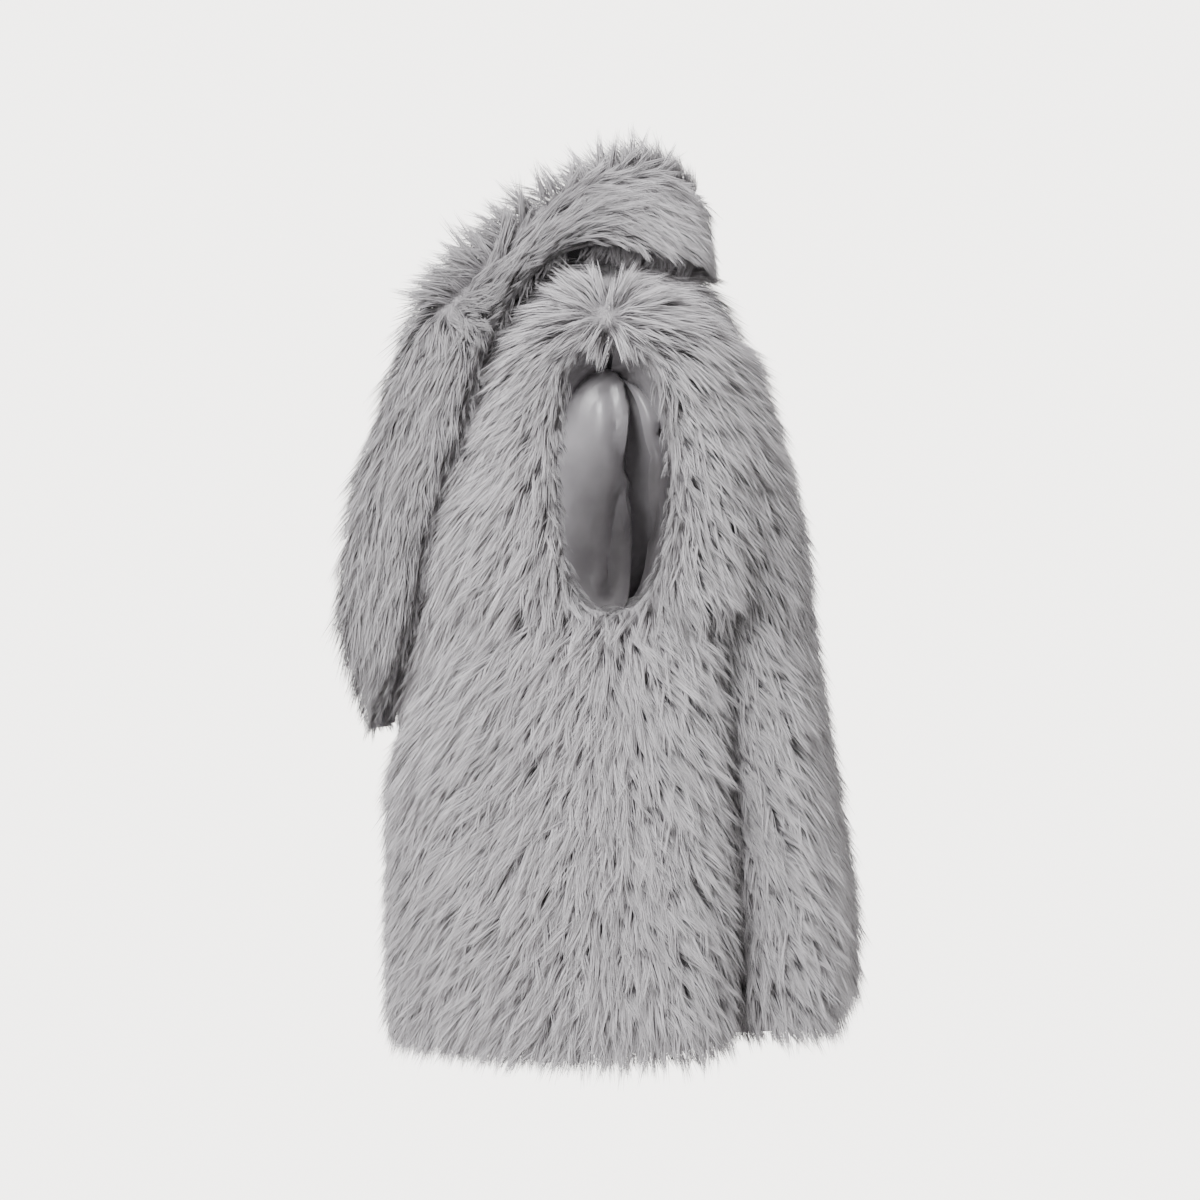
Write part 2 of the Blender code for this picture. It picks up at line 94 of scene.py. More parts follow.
# The line that collar and lapel roll over, from the middle of the nape (0),
# over the shoulder seam (3), to the lapel's lower end at the front edge (10):
# a point, the ways up and out there, the stand's height, how far the fall's
# edge lies from the point, the pile left under the fall, and the wall's size.
Roll = namedtuple("Roll", "x y z bx by bz ax ay az stand fx fy fz under size")
ROLLS = [
    (0.000, 0.081, 0.066, 0.00, -0.10, 1.00, 0.00, 1.00, 0.00, 0.062, 0.000, 0.020, -0.062, 0.009, 1.0),
    (0.058, 0.066, 0.074, -0.05, -0.08, 1.00, 0.65, 0.76, 0.00, 0.070, 0.024, 0.022, -0.068, 0.009, 1.0),
    (0.090, 0.028, 0.078, -0.05, 0.00, 1.00, 1.00, 0.10, 0.00, 0.073, 0.032, 0.004, -0.066, 0.009, 1.0),
    (0.098, -0.024, 0.058, -0.10, -0.45, 0.88, 0.97, -0.20, 0.00, 0.055, 0.036, 0.018, -0.044, 0.009, 1.0),
    (0.101, -0.085, 0.012, -0.20, -0.75, 0.63, 0.90, -0.40, -0.10, 0.030, 0.050, 0.032, -0.018, 0.010, 1.0),
    (0.103, -0.142, -0.045, -0.35, -0.88, 0.30, 0.88, -0.45, 0.00, 0.018, 0.056, 0.040, -0.026, 0.012, 1.0),
    (0.098, -0.180, -0.145, -0.50, -0.86, 0.08, 0.85, -0.52, 0.00, 0.016, 0.060, 0.056, -0.004, 0.016, 1.0),
    (0.086, -0.206, -0.227, -0.58, -0.81, 0.00, 0.81, -0.58, 0.00, 0.016, 0.064, 0.056, 0.000, 0.018, 1.0),
    (0.067, -0.216, -0.319, -0.62, -0.78, 0.00, 0.78, -0.62, 0.00, 0.016, 0.064, 0.044, 0.000, 0.018, 1.0),
    (0.050, -0.212, -0.378, -0.70, -0.70, -0.05, 0.70, -0.70, 0.00, 0.014, 0.054, 0.020, 0.000, 0.012, 0.9),
    (0.036, -0.210, -0.430, -0.80, -0.60, -0.10, 0.60, -0.80, 0.00, 0.008, 0.026, -0.002, 0.004, 0.008, 0.6),
]
SHOULDER_STATION = 3.0
BREAK_STATION = 10.0

# Level sections of a front, hem first: the station of the roll line where the
# inner end lies (or -1 and its place), the reach of the first bend, the outer
# end, the way the cloth runs there and its reach.
Section = namedtuple("Section", "roll ix iy iz ir ox oy oz dx dy dz dr")
FRONT_SECTIONS = [
    (-1, CENTRE_GAP, -0.172, -0.710, 0.150, 0.245, SIDE_Y, HEM_Z, 0.00, 1.00, 0.0, 0.110),
    (-1, CENTRE_GAP, -0.173, -0.604, 0.150, 0.240, SIDE_Y, -0.600, 0.00, 1.00, 0.0, 0.110),
    (-1, CENTRE_GAP, -0.174, -0.520, 0.140, 0.232, SIDE_Y, -0.520, 0.00, 1.00, 0.0, 0.105),
    (-1, CENTRE_GAP, -0.174, -0.450, 0.130, 0.225, SIDE_Y, -0.450, 0.00, 1.00, 0.0, 0.105),
    (9.0, 0, 0, 0, 0.100, 0.215, SIDE_Y, -0.375, 0.00, 1.00, 0.0, 0.110),
    (8.0, 0, 0, 0, 0.110, 0.209, SIDE_Y, ARM_BASE_Z, 0.00, 1.00, 0.0, 0.110),
    (7.7, 0, 0, 0, 0.110, 0.209, -0.012, -0.315, 0.06, 1.00, 0.0, 0.095),
    (7.4, 0, 0, 0, 0.105, 0.208, -0.028, -0.288, 0.12, 0.99, 0.0, 0.085),
    (7.0, 0, 0, 0, 0.100, 0.206, -0.036, -0.240, 0.25, 0.97, 0.0, 0.080),
    (6.2, 0, 0, 0, 0.095, 0.203, -0.038, -0.190, 0.40, 0.92, 0.0, 0.070),
    (5.6, 0, 0, 0, 0.075, 0.199, -0.032, -0.140, 0.55, 0.83, -0.1, 0.060),
    (5.0, 0, 0, 0, 0.060, 0.199, -0.028, -0.112, 0.62, 0.70, -0.35, 0.055),
    (4.3, 0, 0, 0, 0.040, 0.199, -0.019, -0.093, 0.66, 0.45, -0.60, 0.052),
    (3.6, 0, 0, 0, 0.025, 0.199, -0.006, -0.081, 0.64, 0.20, -0.74, 0.054),
    (3.0, 0, 0, 0, 0.015, 0.199, SIDE_Y, -0.077, 0.62, 0.00, -0.78, 0.056),
]

# Soft folds: place across the front, 0 centre to 1 side seam, half width in
# the same measure, how far it stands out at the hem (less than 0 for a
# trough), and the height at which it has died out.
Fold = namedtuple("Fold", "across spread hem top")
FRONT_FOLDS = [
    Fold(0.22, 0.10, 0.006, -0.42),
    Fold(0.45, 0.09, -0.008, -0.36),
    Fold(0.72, 0.10, 0.007, -0.40),
]
FRONT_PLACES = np.linspace(0.0, 1.0, 31)


def unit(vector):
    return vector / np.linalg.norm(vector)


def units(vectors):
    return vectors / np.maximum(np.linalg.norm(vectors, axis=-1, keepdims=True), SHORTEST)


def smooth(value):
    held = np.clip(value, 0.0, 1.0)
    return held * held * (3.0 - 2.0 * held)


def bell(value):
    return np.exp(-(value**2))


def lengths(vectors):
    return np.linalg.norm(vectors, axis=2)


def read_table(table, place):
    """Every column of a table at a place between its rows, on a smooth curve."""
    rows = np.array(table, dtype=float)
    last = len(rows) - 1
    index = min(int(place), last - 1)
    part = place - index
    p0 = rows[max(index - 1, 0)]
    p1 = rows[index]
    p2 = rows[index + 1]
    p3 = rows[min(index + 2, last)]
    square = part * part
    cube = square * part
    return (
        (2 * cube - 3 * square + 1) * p1
        + (cube - 2 * square + part) * (p2 - p0) / 2.0
        + (3 * square - 2 * cube) * p2
        + (cube - square) * (p3 - p1) / 2.0
    )


def bezier(start, start_way, end, end_way, place):
    rest = 1.0 - place
    return (
        start * rest**3
        + (start + start_way) * 3 * rest**2 * place
        + (end - end_way) * 3 * rest * place**2
        + end * place**3
    )


def roll_at(station):
    """A row of the roll line, its middle, its upward and its outward way."""
    roll = Roll(*read_table(ROLLS, station))
    up = unit(np.array([roll.bx, roll.by, roll.bz]))
    outward = np.array([roll.ax, roll.ay, roll.az])
    outward = unit(outward - up * outward.dot(up))
    return roll, np.array([roll.x, roll.y, roll.z]), up, outward


def neck_edge(station):
    """Where a panel's backing meets the collar's stand, and the way it leaves."""
    roll, middle, up, outward = roll_at(station)
    foot = roll.stand + END_ROOM
    return middle - up * foot - outward * NECK_SET * roll.size, -up


def section_ends(sections, row):
    """Ends of a level section and the ways the cloth runs there."""
    ends = []
    for section in map(Section._make, sections):
        outer = np.array([section.ox, section.oy, section.oz])
        outer_way = unit(np.array([section.dx, section.dy, section.dz])) * section.dr
        if section.roll < 0:
            inner = np.array([section.ix, section.iy, section.iz])
            inner_way = np.array([section.ir, 0.0, 0.0])
        else:
            inner, way = neck_edge(section.roll)
            if section.roll == 0.0:
                way = np.array([1.0, 0.0, -0.1])
            inner_way = way * section.ir
        ends.append(np.concatenate([inner, inner_way, outer, outer_way]))
    values = read_table(ends, row * (len(sections) - 1))
    return values[0:3], values[3:6], values[6:9], values[9:12]


def fold_height(folds, across, height):
    """How far the folds move a point out. They die out at both seams."""
    seams = smooth(across / CENTRE_FADE) * smooth((1.0 - across) / SIDE_FADE)
    total = 0.0
    for fold in folds:
        fade = smooth((fold.top - height) / (fold.top - HEM_Z))
        total += fold.hem * fade * math.exp(-(((across - fold.across) / fold.spread) ** 2))
    return total * seams


def grid_normals(grid):
    """Outward ways at a panel's points. Neighbours share them at their seams."""
    across = np.gradient(grid, axis=1)
    upward = np.gradient(grid, axis=0)
    facing = 1.0 if grid[0, -1, 1] > grid[0, 0, 1] else -1.0
    normals = units(np.cross(across, upward) * facing)
    for _ in range(NORMAL_ROUNDS):
        wide = np.pad(normals, ((1, 1), (1, 1), (0, 0)), mode="edge")
        normals = wide[:-2, 1:-1] + wide[2:, 1:-1] + wide[1:-1, :-2] + wide[1:-1, 2:] + normals
        normals = units(normals)
    for i in np.flatnonzero(grid[:, -1, 2] < ARM_BASE_Z + ARM_MARGIN):
        normals[i, -1] = unit(np.array([upward[i, -1, 2], 0.0, -upward[i, -1, 0]]))
    for j in range(grid.shape[1]):
        ridge = across[-1, j]
        normals[-1, j] = unit(np.array([-ridge[2], 0.0, ridge[0]]))
    return normals


def panel_grid(sections, folds, row_count, places):
    """Backing points of a panel, row by row from the hem, and its outward ways."""
    grid = np.zeros((row_count, len(places), 3))
    for i in range(row_count):
        ends = section_ends(sections, i / (row_count - 1))
        for j, across in enumerate(places):
            grid[i, j] = bezier(*ends, across)
    normals = grid_normals(grid)
    for i in range(row_count):
        for j, across in enumerate(places):
            grid[i, j] += normals[i, j] * fold_height(folds, across, grid[i, j, 2])
    return grid, grid_normals(grid)


def neck_cover(first, last):
    """The panel's edge under the collar: points, pile left there and the fall's reach."""
    edges = []
    for step in range(COVER_STEPS + 1):
        station = first + (last - first) * step / COVER_STEPS
        roll = roll_at(station)[0]
        edges.append([*neck_edge(station)[0], roll.under, math.hypot(roll.fx, roll.fy, roll.fz)])
    return np.array(edges)


def edge_share(distance):
    """Share of the pile's depth near a free edge."""
    inside = np.clip(distance / EDGE_ROUND, 0.0, 1.0)
    return PRESSED_EDGE + (1.0 - PRESSED_EDGE) * np.sqrt(1.0 - (1.0 - inside) ** 2)


def run_along(grid):
    """Distance walked along each row of a grid, from its first point."""
    steps = lengths(np.diff(grid, axis=1))
    return np.concatenate([np.zeros((len(grid), 1)), np.cumsum(steps, axis=1)], axis=1)


HEM_HAIR = 0.43  # share of a lock's length at the hem
TUFT_HAIR = 1.22  # and at the tuft over the shoulder's end
TUFT = 0.045
COVERED = 0.45  # share of the locks that grow under the collar
COVER_FROM = 0.32  # share of the fall's reach where more begin to grow
COVER_RISE = 0.020
HEM_COVER = 0.7  # more of them at the hem and beside the seams
SEAM_COVER = 0.5
HEM_BAND = 0.030
HEM_PRESS = 0.14  # share by which the hem's hair is shorter
SHOULDER_END = np.array([0.192, SIDE_Y, -0.056])


def pile_depth(grid, cover):
    """Depth of the pile, less at free edges and under the collar.

    Also the share of a lock's full length, and how thickly the locks stand.
    """
    run = run_along(grid)
    share = edge_share(lengths(grid - grid[:1]))
    free = (grid[:, -1, 2] > ARM_BASE_Z + ARM_MARGIN)[:, None]
    share = np.where(free, np.minimum(share, edge_share(run[:, -1:] - run)), share)
    gaps = np.linalg.norm(grid[:, :, None, :] - cover[None, None, :, :3], axis=3)
    nearest = gaps.argmin(axis=2)
    gap = gaps.min(axis=2)
    under = cover[nearest, 3]
    fall = cover[nearest, 4]
    opened = smooth((gap - fall) / PILE_RISE)
    depth = np.minimum(share * PILE, under + (PILE - under) * opened)
    depth = np.minimum(depth, NECK_PRESS + NECK_SLOPE * gap)
    # Where this share of a lock's length is below one, the locks' tone is also darkened as painted shade.
    hair = np.maximum(share, HEM_HAIR * smooth(1.0 - (grid[:, :, 2] - HEM_Z) / EDGE_ROUND))
    hair *= 1.0 - HEM_PRESS * smooth(1.0 - (grid[:, :, 2] - grid[:1, :, 2]) / HEM_BAND)
    end = lengths(grid - SHOULDER_END)
    hair = np.maximum(hair, TUFT_HAIR * bell(end / TUFT))
    cover = COVERED + (1.0 - COVERED) * smooth((gap - fall * COVER_FROM) / COVER_RISE)
    cover += HEM_COVER * smooth(1.0 - (grid[:, :, 2] - grid[:1, :, 2]) / HEM_BAND)
    cover += SEAM_COVER * smooth(1.0 - (run[:, -1:] - run) / HEM_BAND)
    return depth, hair, cover


def mirrored(grid):
    """The same points or ways on the wearer's right."""
    return grid * np.array([-1.0, 1.0, 1.0])


def new_object(name, data):
    """An object of the scene."""
    item = bpy.data.objects.new(name, data)
    bpy.context.scene.collection.objects.link(item)
    return item


def make_wall(name, inside, outside, materials, joined_rows=0):
    """A closed wall between two grids, or two halves joined on the middle plane.

    inside and outside are lists of grids, one for each half. The outer face
    and the rim take the first material, and the inner face the second.
    """
    work = bmesh.new()
    for low, high in zip(inside, outside):
        rows, columns, _ = low.shape
        below = [[work.verts.new(point) for point in row] for row in low]
        above = [[work.verts.new(point) for point in row] for row in high]
        for i in range(rows - 1):
            for j in range(columns - 1):
                face = work.faces.new([below[i][j], below[i + 1][j], below[i + 1][j + 1], below[i][j + 1]])
                face.material_index = 1
                work.faces.new([above[i][j], above[i][j + 1], above[i + 1][j + 1], above[i + 1][j]])
            work.faces.new([below[i][-1], below[i + 1][-1], above[i + 1][-1], above[i][-1]])
            if i >= joined_rows:
                work.faces.new([above[i][0], above[i + 1][0], below[i + 1][0], below[i][0]])
        for j in range(columns - 1):
            work.faces.new([below[0][j], below[0][j + 1], above[0][j + 1], above[0][j]])
            work.faces.new([above[-1][j], above[-1][j + 1], below[-1][j + 1], below[-1][j]])
    if joined_rows:
        middle = [point for point in work.verts if abs(point.co.x) < SAME_PLACE]
        bmesh.ops.remove_doubles(work, verts=middle, dist=SAME_PLACE)
    bmesh.ops.recalc_face_normals(work, faces=work.faces)
    mesh = bpy.data.meshes.new(name)
    work.to_mesh(mesh)
    work.free()
    mesh.shade_smooth()
    mesh.set_sharp_from_angle(angle=math.radians(SHARP_ANGLE))
    for material in materials:
        mesh.materials.append(material)
    return new_object(name, mesh)


def linear(text):
    """A colour given as sRGB hex, as the linear values that a shader takes."""
    values = [int(text[i:i + 2], 16) / 255.0 for i in (1, 3, 5)]
    return [v / 12.92 if v <= 0.04045 else ((v + 0.055) / 1.055) ** 2.4 for v in values] + [1.0]


def new_material(name):
    """A material, its nodes and its shader."""
    material = bpy.data.materials.new(name)
    material.use_nodes = True
    return material, material.node_tree, material.node_tree.nodes["Principled BSDF"]


def add(tree, kind, inputs=None, **settings):
    """A node with its settings.

    Its inputs are values, sockets to link from, or nodes whose first socket is
    linked.
    """
    item = tree.nodes.new(kind)
    for key, value in settings.items():
        setattr(item, key, value)
    for key, value in (inputs or {}).items():
        if isinstance(value, bpy.types.Node):
            value = value.outputs[0]
        if isinstance(value, bpy.types.NodeSocket):
            tree.links.new(value, item.inputs[key])
        else:
            item.inputs[key].default_value = value
    return item


def fill_ramp(ramp, stops):
    """Colour stops of a ramp, as places and sRGB hex colours."""
    elements = ramp.color_ramp.elements
    while len(elements) < len(stops):
        elements.new(0.5)
    for element, (place, colour) in zip(elements, stops):
        element.position = place
        element.color = linear(colour)


# Modacrylic guard hair, drawn and heat-set fine, with a soft sheen. Its colour
# runs from painted shade at the root to a pale tip, and each lock has a tone of
# its own.
guard_hair, tree, shader = new_material("modacrylic_guard_hair")
along = add(tree, "ShaderNodeAttribute", attribute_name="along")
tone = add(tree, "ShaderNodeAttribute", attribute_name="tone")
ramp = add(tree, "ShaderNodeValToRGB", {"Fac": along.outputs["Fac"]})
fill_ramp(ramp, [(0.0, "#69666a"), (0.30, "#8f8c8f"), (0.68, "#b1aeb1"), (1.0, "#c9c6c9")])
tinted = add(tree, "ShaderNodeHueSaturation", {"Color": ramp.outputs["Color"], "Value": tone.outputs["Fac"]})
tree.links.new(tinted.outputs["Color"], shader.inputs["Base Color"])
shader.inputs["Roughness"].default_value = 0.52
shader.inputs["Specular IOR Level"].default_value = 0.35
shader.inputs["IOR"].default_value = 1.49
shader.inputs["Sheen Weight"].default_value = 0.25
shader.inputs["Sheen Roughness"].default_value = 0.45

# Underfur, short and crimped, a soft ground between the locks. Its darker grey
# is painted shade deep in the pile. Its grain is about 1.5 mm, coarser than real
# fibres, so that it shows.
underfur, tree, shader = new_material("crimped_underfur")
place = add(tree, "ShaderNodeTexCoord")
stretched = add(tree, "ShaderNodeMapping", {"Vector": place.outputs["Object"], "Scale": (1.0, 1.0, 0.25)})
grain = add(tree, "ShaderNodeTexNoise", {"Vector": stretched, "Scale": 650.0, "Detail": 3.0})
ramp = add(tree, "ShaderNodeValToRGB", {"Fac": grain.outputs["Fac"]})
fill_ramp(ramp, [(0.30, "#6f6c6f"), (0.70, "#959295")])
tree.links.new(ramp.outputs["Color"], shader.inputs["Base Color"])
bump = add(tree, "ShaderNodeBump", {"Height": grain.outputs["Fac"], "Strength": 0.8, "Distance": 0.0015})
tree.links.new(bump.outputs["Normal"], shader.inputs["Normal"])
shader.inputs["Roughness"].default_value = 0.9
shader.inputs["Sheen Weight"].default_value = 0.3

# Knitted polyester backing, warp-knitted at a 1.2 mm gauge, which gives dull
# upright ribs of loops on the inner face of the fur cloth.
backing, tree, shader = new_material("knitted_polyester_backing")
place = add(tree, "ShaderNodeTexCoord")
ribs = add(
    tree,
    "ShaderNodeTexWave",
    {"Vector": place.outputs["Object"], "Scale": 260.0, "Distortion": 1.5, "Detail": 1.0},
    bands_direction="DIAGONAL",
)
ramp = add(tree, "ShaderNodeValToRGB", {"Fac": ribs.outputs["Fac"]})
fill_ramp(ramp, [(0.0, "#6f6d72"), (1.0, "#9b999f")])
tree.links.new(ramp.outputs["Color"], shader.inputs["Base Color"])
bump = add(tree, "ShaderNodeBump", {"Height": ribs.outputs["Fac"], "Strength": 0.5, "Distance": 0.0004})
tree.links.new(bump.outputs["Normal"], shader.inputs["Normal"])
shader.inputs["Roughness"].default_value = 0.85

# A lock is a few tapered hairs that share a root and lean over to one tip.
LOCK_SHAPES = 10
LOCK_HAIRS = 12
LOCK_SEED = 4100
LOCK_LENGTH = 0.0485
LENGTH_RANGE = (0.82, 1.18)
HAIR_WIDTH = 0.00085
HAIR_BEND = 0.46  # place along a hair where it is widest and bends over
ROOT_RISE = 0.92  # angle from the cloth at the root, in radians
TIP_RISE = 0.06
ROOT_SPREAD = 0.0045
ROOT_SINK = 0.6  # depth of the roots in the underfur, by their spread
TIP_SPREAD = 0.0034
BOW = 0.22  # most that a lock bows sideways, by its length
REACH_RANGE = (0.66, 1.0)  # a hair's length, rise and turn about its own line
RISE_RANGE = (0.74, 1.12)
HAIR_TURN = 0.95

lock_shapes = bpy.data.collections.new("lock_shapes")
bpy.context.scene.collection.children.link(lock_shapes)


def make_lock(number):
    """One lock, rooted at the origin, leaning along +X, with +Z off the cloth."""
    chance = np.random.default_rng(LOCK_SEED + number)
    points = []
    faces = []
    shares = []
    length = LOCK_LENGTH * chance.uniform(*LENGTH_RANGE)
    bow = chance.uniform(-BOW, BOW)
    for _ in range(LOCK_HAIRS):
        root = np.array([chance.uniform(-1, 1), chance.uniform(-1, 1), -ROOT_SINK]) * ROOT_SPREAD
        tip_side = chance.uniform(-1, 1) * TIP_SPREAD
        reach = length * chance.uniform(*REACH_RANGE)
        rise = ROOT_RISE * chance.uniform(*RISE_RANGE)
        roll = chance.uniform(-HAIR_TURN, HAIR_TURN)
        line = []
        for step in (0.0, HAIR_BEND, 1.0):
            angle = rise + (TIP_RISE - rise) * step
            mean = (rise + angle) / 2.0
            out = reach * step
            sideways = root[1] * (1.0 - step) + tip_side * step + bow * reach * step * step
            lean = [out * math.cos(mean), sideways, out * math.sin(mean)]
            line.append(root * (1.0 - step) * [1, 0, 1] + lean)
        way = unit(line[2] - line[0])
        flat = unit(np.cross([0.0, 0.0, 1.0], way))
        lifted = np.cross(way, flat)
        half = (flat * math.cos(roll) + lifted * math.sin(roll)) * HAIR_WIDTH / 2.0
        base = len(points)
        points += [line[0], line[1] + half, line[1] - half, line[2]]
        shares += [0.0, HAIR_BEND, HAIR_BEND, 1.0]
        faces.append([base, base + 1, base + 2])
        faces.append([base + 2, base + 1, base + 3])
    mesh = bpy.data.meshes.new(f"lock_{number}")
    mesh.from_pydata([tuple(point) for point in points], [], faces)
    mesh.attributes.new("along", "FLOAT", "POINT").data.foreach_set("value", shares)
    mesh.shade_smooth()
    lock_shapes.objects.link(bpy.data.objects.new(f"lock_{number}", mesh))


for number in range(LOCK_SHAPES):
    make_lock(number)

# Locks on a face of cloth: they stand on random roots, turn to the nap that
# the cloth carries, stray from it in patches as combed fur does, and shrink
# where the pile is pressed. There their tone is darkened, as painted shade.
growth = bpy.data.node_groups.new("fur_locks", "GeometryNodeTree")
growth.interface.new_socket("Geometry", in_out="OUTPUT", socket_type="NodeSocketGeometry")
GROWTH_INPUTS = [
    ("Geometry", "Geometry", None),
    ("Locks per square metre", "Float", 40000.0),
    ("Seed", "Int", 1),
    ("Patch Size", "Float", 0.024),
    ("Patch Turn", "Float", 0.9),
    ("Patch Lift", "Float", 0.45),
    ("Stray Turn", "Float", 0.36),
    ("Painted Shade", "Float", 0.70),
    ("Tone", "Float", 1.0),
    ("Lock Shapes", "Collection", None),
    ("Hair", "Material", None),
]
for name, kind, value in GROWTH_INPUTS:
    socket = growth.interface.new_socket(name, in_out="INPUT", socket_type="NodeSocket" + kind)
    if value is not None:
        socket.default_value = value

start = add(growth, "NodeGroupInput").outputs
# What each point of the cloth carries: its nap, and how long and thick its fur is.
carried = {"nap": "FLOAT_VECTOR", "pile": "FLOAT", "thick": "FLOAT"}
nap, pile, thick = [
    add(growth, "GeometryNodeInputNamedAttribute", {"Name": name}, data_type=kind).outputs["Attribute"]
    for name, kind in carried.items()
]
density = add(growth, "ShaderNodeMath", {0: start["Locks per square metre"], 1: thick}, operation="MULTIPLY")
roots = add(
    growth,
    "GeometryNodeDistributePointsOnFaces",
    {"Mesh": start["Geometry"], "Density": density, "Seed": start["Seed"]},
).outputs
fineness = add(growth, "ShaderNodeMath", {0: 1.0, 1: start["Patch Size"]}, operation="DIVIDE")
where = add(growth, "GeometryNodeInputPosition").outputs["Position"]
patches = add(
    growth,
    "ShaderNodeTexNoise",
    {"Vector": where, "Scale": fineness, "Detail": 1.5, "Roughness": 0.6},
).outputs["Color"]
parts = add(growth, "ShaderNodeSeparateXYZ", {"Vector": patches}).outputs
patch_turn = add(growth, "ShaderNodeMath", {0: parts["X"], 1: -0.5}, operation="ADD")
patch_turn = add(growth, "ShaderNodeMath", {0: patch_turn, 1: start["Patch Turn"]}, operation="MULTIPLY")
stray = add(growth, "FunctionNodeRandomValue", {"Min": -1.0, "Max": 1.0, "Seed": 7}, data_type="FLOAT")
stray = add(
    growth,
    "ShaderNodeMath",
    {0: stray.outputs["Value"], 1: start["Stray Turn"]},
    operation="MULTIPLY",
)
turn = add(growth, "ShaderNodeMath", {0: patch_turn, 1: stray}, operation="ADD")
lift = add(growth, "ShaderNodeMath", {0: parts["Y"], 1: -0.5}, operation="ADD")
lift = add(growth, "ShaderNodeMath", {0: lift, 1: start["Patch Lift"]}, operation="MULTIPLY")
bend = add(growth, "ShaderNodeCombineXYZ", {"Y": lift, "Z": turn})
bend = add(growth, "FunctionNodeEulerToRotation", {"Euler": bend})
lie = add(
    growth,
    "FunctionNodeAxesToRotation",
    {"Primary Axis": roots["Normal"], "Secondary Axis": nap},
    primary_axis="Z",
    secondary_axis="X",
)
lie = add(
    growth,
    "FunctionNodeRotateRotation",
    {"Rotation": lie, "Rotate By": bend},
    rotation_space="LOCAL",
)
grown = add(growth, "FunctionNodeRandomValue", {"Min": 0.80, "Max": 1.14, "Seed": 11}, data_type="FLOAT")
size = add(growth, "ShaderNodeMath", {0: grown.outputs["Value"], 1: pile}, operation="MULTIPLY")
shapes = add(
    growth,
    "GeometryNodeCollectionInfo",
    {"Collection": start["Lock Shapes"], "Separate Children": True, "Reset Children": True},
)
choice = add(
    growth,
    "FunctionNodeRandomValue",
    {"Min": 0, "Max": LOCK_SHAPES - 1, "Seed": 3},
    data_type="INT",
)
locks = add(
    growth,
    "GeometryNodeInstanceOnPoints",
    {
        "Points": roots["Points"],
        "Instance": shapes.outputs["Instances"],
        "Pick Instance": True,
        "Instance Index": choice.outputs["Value"],
        "Rotation": lie,
        "Scale": size,
    },
)
shade = add(growth, "FunctionNodeRandomValue", {"Min": -0.11, "Max": 0.11, "Seed": 5}, data_type="FLOAT")
patch_shade = add(growth, "ShaderNodeMath", {0: parts["Z"], 1: 0.5, 2: 0.75}, operation="MULTIPLY_ADD")
shade = add(growth, "ShaderNodeMath", {0: patch_shade, 1: shade.outputs["Value"]}, operation="ADD")
# Painted shade: the tone is darkened where a lock is shorter than full.
painted_shade = add(growth, "ShaderNodeMath", {0: pile, 1: -1.0}, operation="ADD")
painted_shade = add(growth, "ShaderNodeMath", {0: painted_shade, 1: 0.0}, operation="MINIMUM")
painted_shade = add(growth, "ShaderNodeMath", {0: painted_shade, 1: start["Painted Shade"]}, operation="MULTIPLY")
shade = add(growth, "ShaderNodeMath", {0: shade, 1: painted_shade}, operation="ADD")
shade = add(growth, "ShaderNodeMath", {0: shade, 1: start["Tone"]}, operation="MULTIPLY")
toned = add(
    growth,
    "GeometryNodeStoreNamedAttribute",
    {"Geometry": locks, "Name": "tone", "Value": shade},
    data_type="FLOAT",
    domain="INSTANCE",
)
grown_fur = add(growth, "GeometryNodeRealizeInstances", {"Geometry": toned})
grown_fur = add(growth, "GeometryNodeSetMaterial", {"Geometry": grown_fur, "Material": start["Hair"]})
add(growth, "NodeGroupOutput", {"Geometry": grown_fur})


def grow_fur(name, faces, locks, seed, **settings):
    """Hair on open faces of cloth, as one plain mesh.

    Each face is its root points, its outward ways, its nap, the share of the
    full pile and how thickly it is covered. locks is how many grow in all.
    """
    points = []
    quads = []
    naps = []
    piles = []
    covers = []
    for grid, ways, combed, deep, cover in faces:
        rows, columns, _ = grid.shape
        first = len(points)
        points += [tuple(point) for point in grid.reshape(-1, 3)]
        naps.append(combed.reshape(-1, 3))
        piles.append(deep.reshape(-1))
        covers.append(cover.reshape(-1))
        middle = (rows // 2, columns // 2)
        sample = np.cross(
            grid[middle[0], middle[1] + 1] - grid[middle], grid[middle[0] + 1, middle[1]] - grid[middle]
        )
        outward = sample.dot(ways[middle]) > 0.0
        for i in range(rows - 1):
            for j in range(columns - 1):
                at = first + i * columns + j
                quad = [at, at + 1, at + columns + 1, at + columns]
                quads.append(quad if outward else quad[::-1])
    mesh = bpy.data.meshes.new(name)
    mesh.from_pydata(points, [], quads)
    mesh.shade_smooth()
    naps = np.concatenate(naps).ravel()
    mesh.attributes.new("nap", "FLOAT_VECTOR", "POINT").data.foreach_set("vector", naps)
    mesh.attributes.new("pile", "FLOAT", "POINT").data.foreach_set("value", np.concatenate(piles))
    covers = np.concatenate(covers)
    mesh.attributes.new("thick", "FLOAT", "POINT").data.foreach_set("value", covers)
    covered = sum(face.area * np.mean([covers[k] for k in face.vertices]) for face in mesh.polygons)
    piece = new_object(name, mesh)
    modifier = piece.modifiers.new("fur", "NODES")
    modifier.node_group = growth
    values = {
        "Locks per square metre": locks / covered,
        "Seed": seed,
        "Lock Shapes": lock_shapes,
        "Hair": guard_hair,
        **settings,
    }
    for socket in growth.interface.items_tree:
        if socket.name in values:
            modifier[socket.identifier] = values[socket.name]
    bpy.context.view_layer.update()
    shown = piece.evaluated_get(bpy.context.evaluated_depsgraph_get())
    piece.data = bpy.data.meshes.new_from_object(shown)
    piece.modifiers.clear()
    return piece


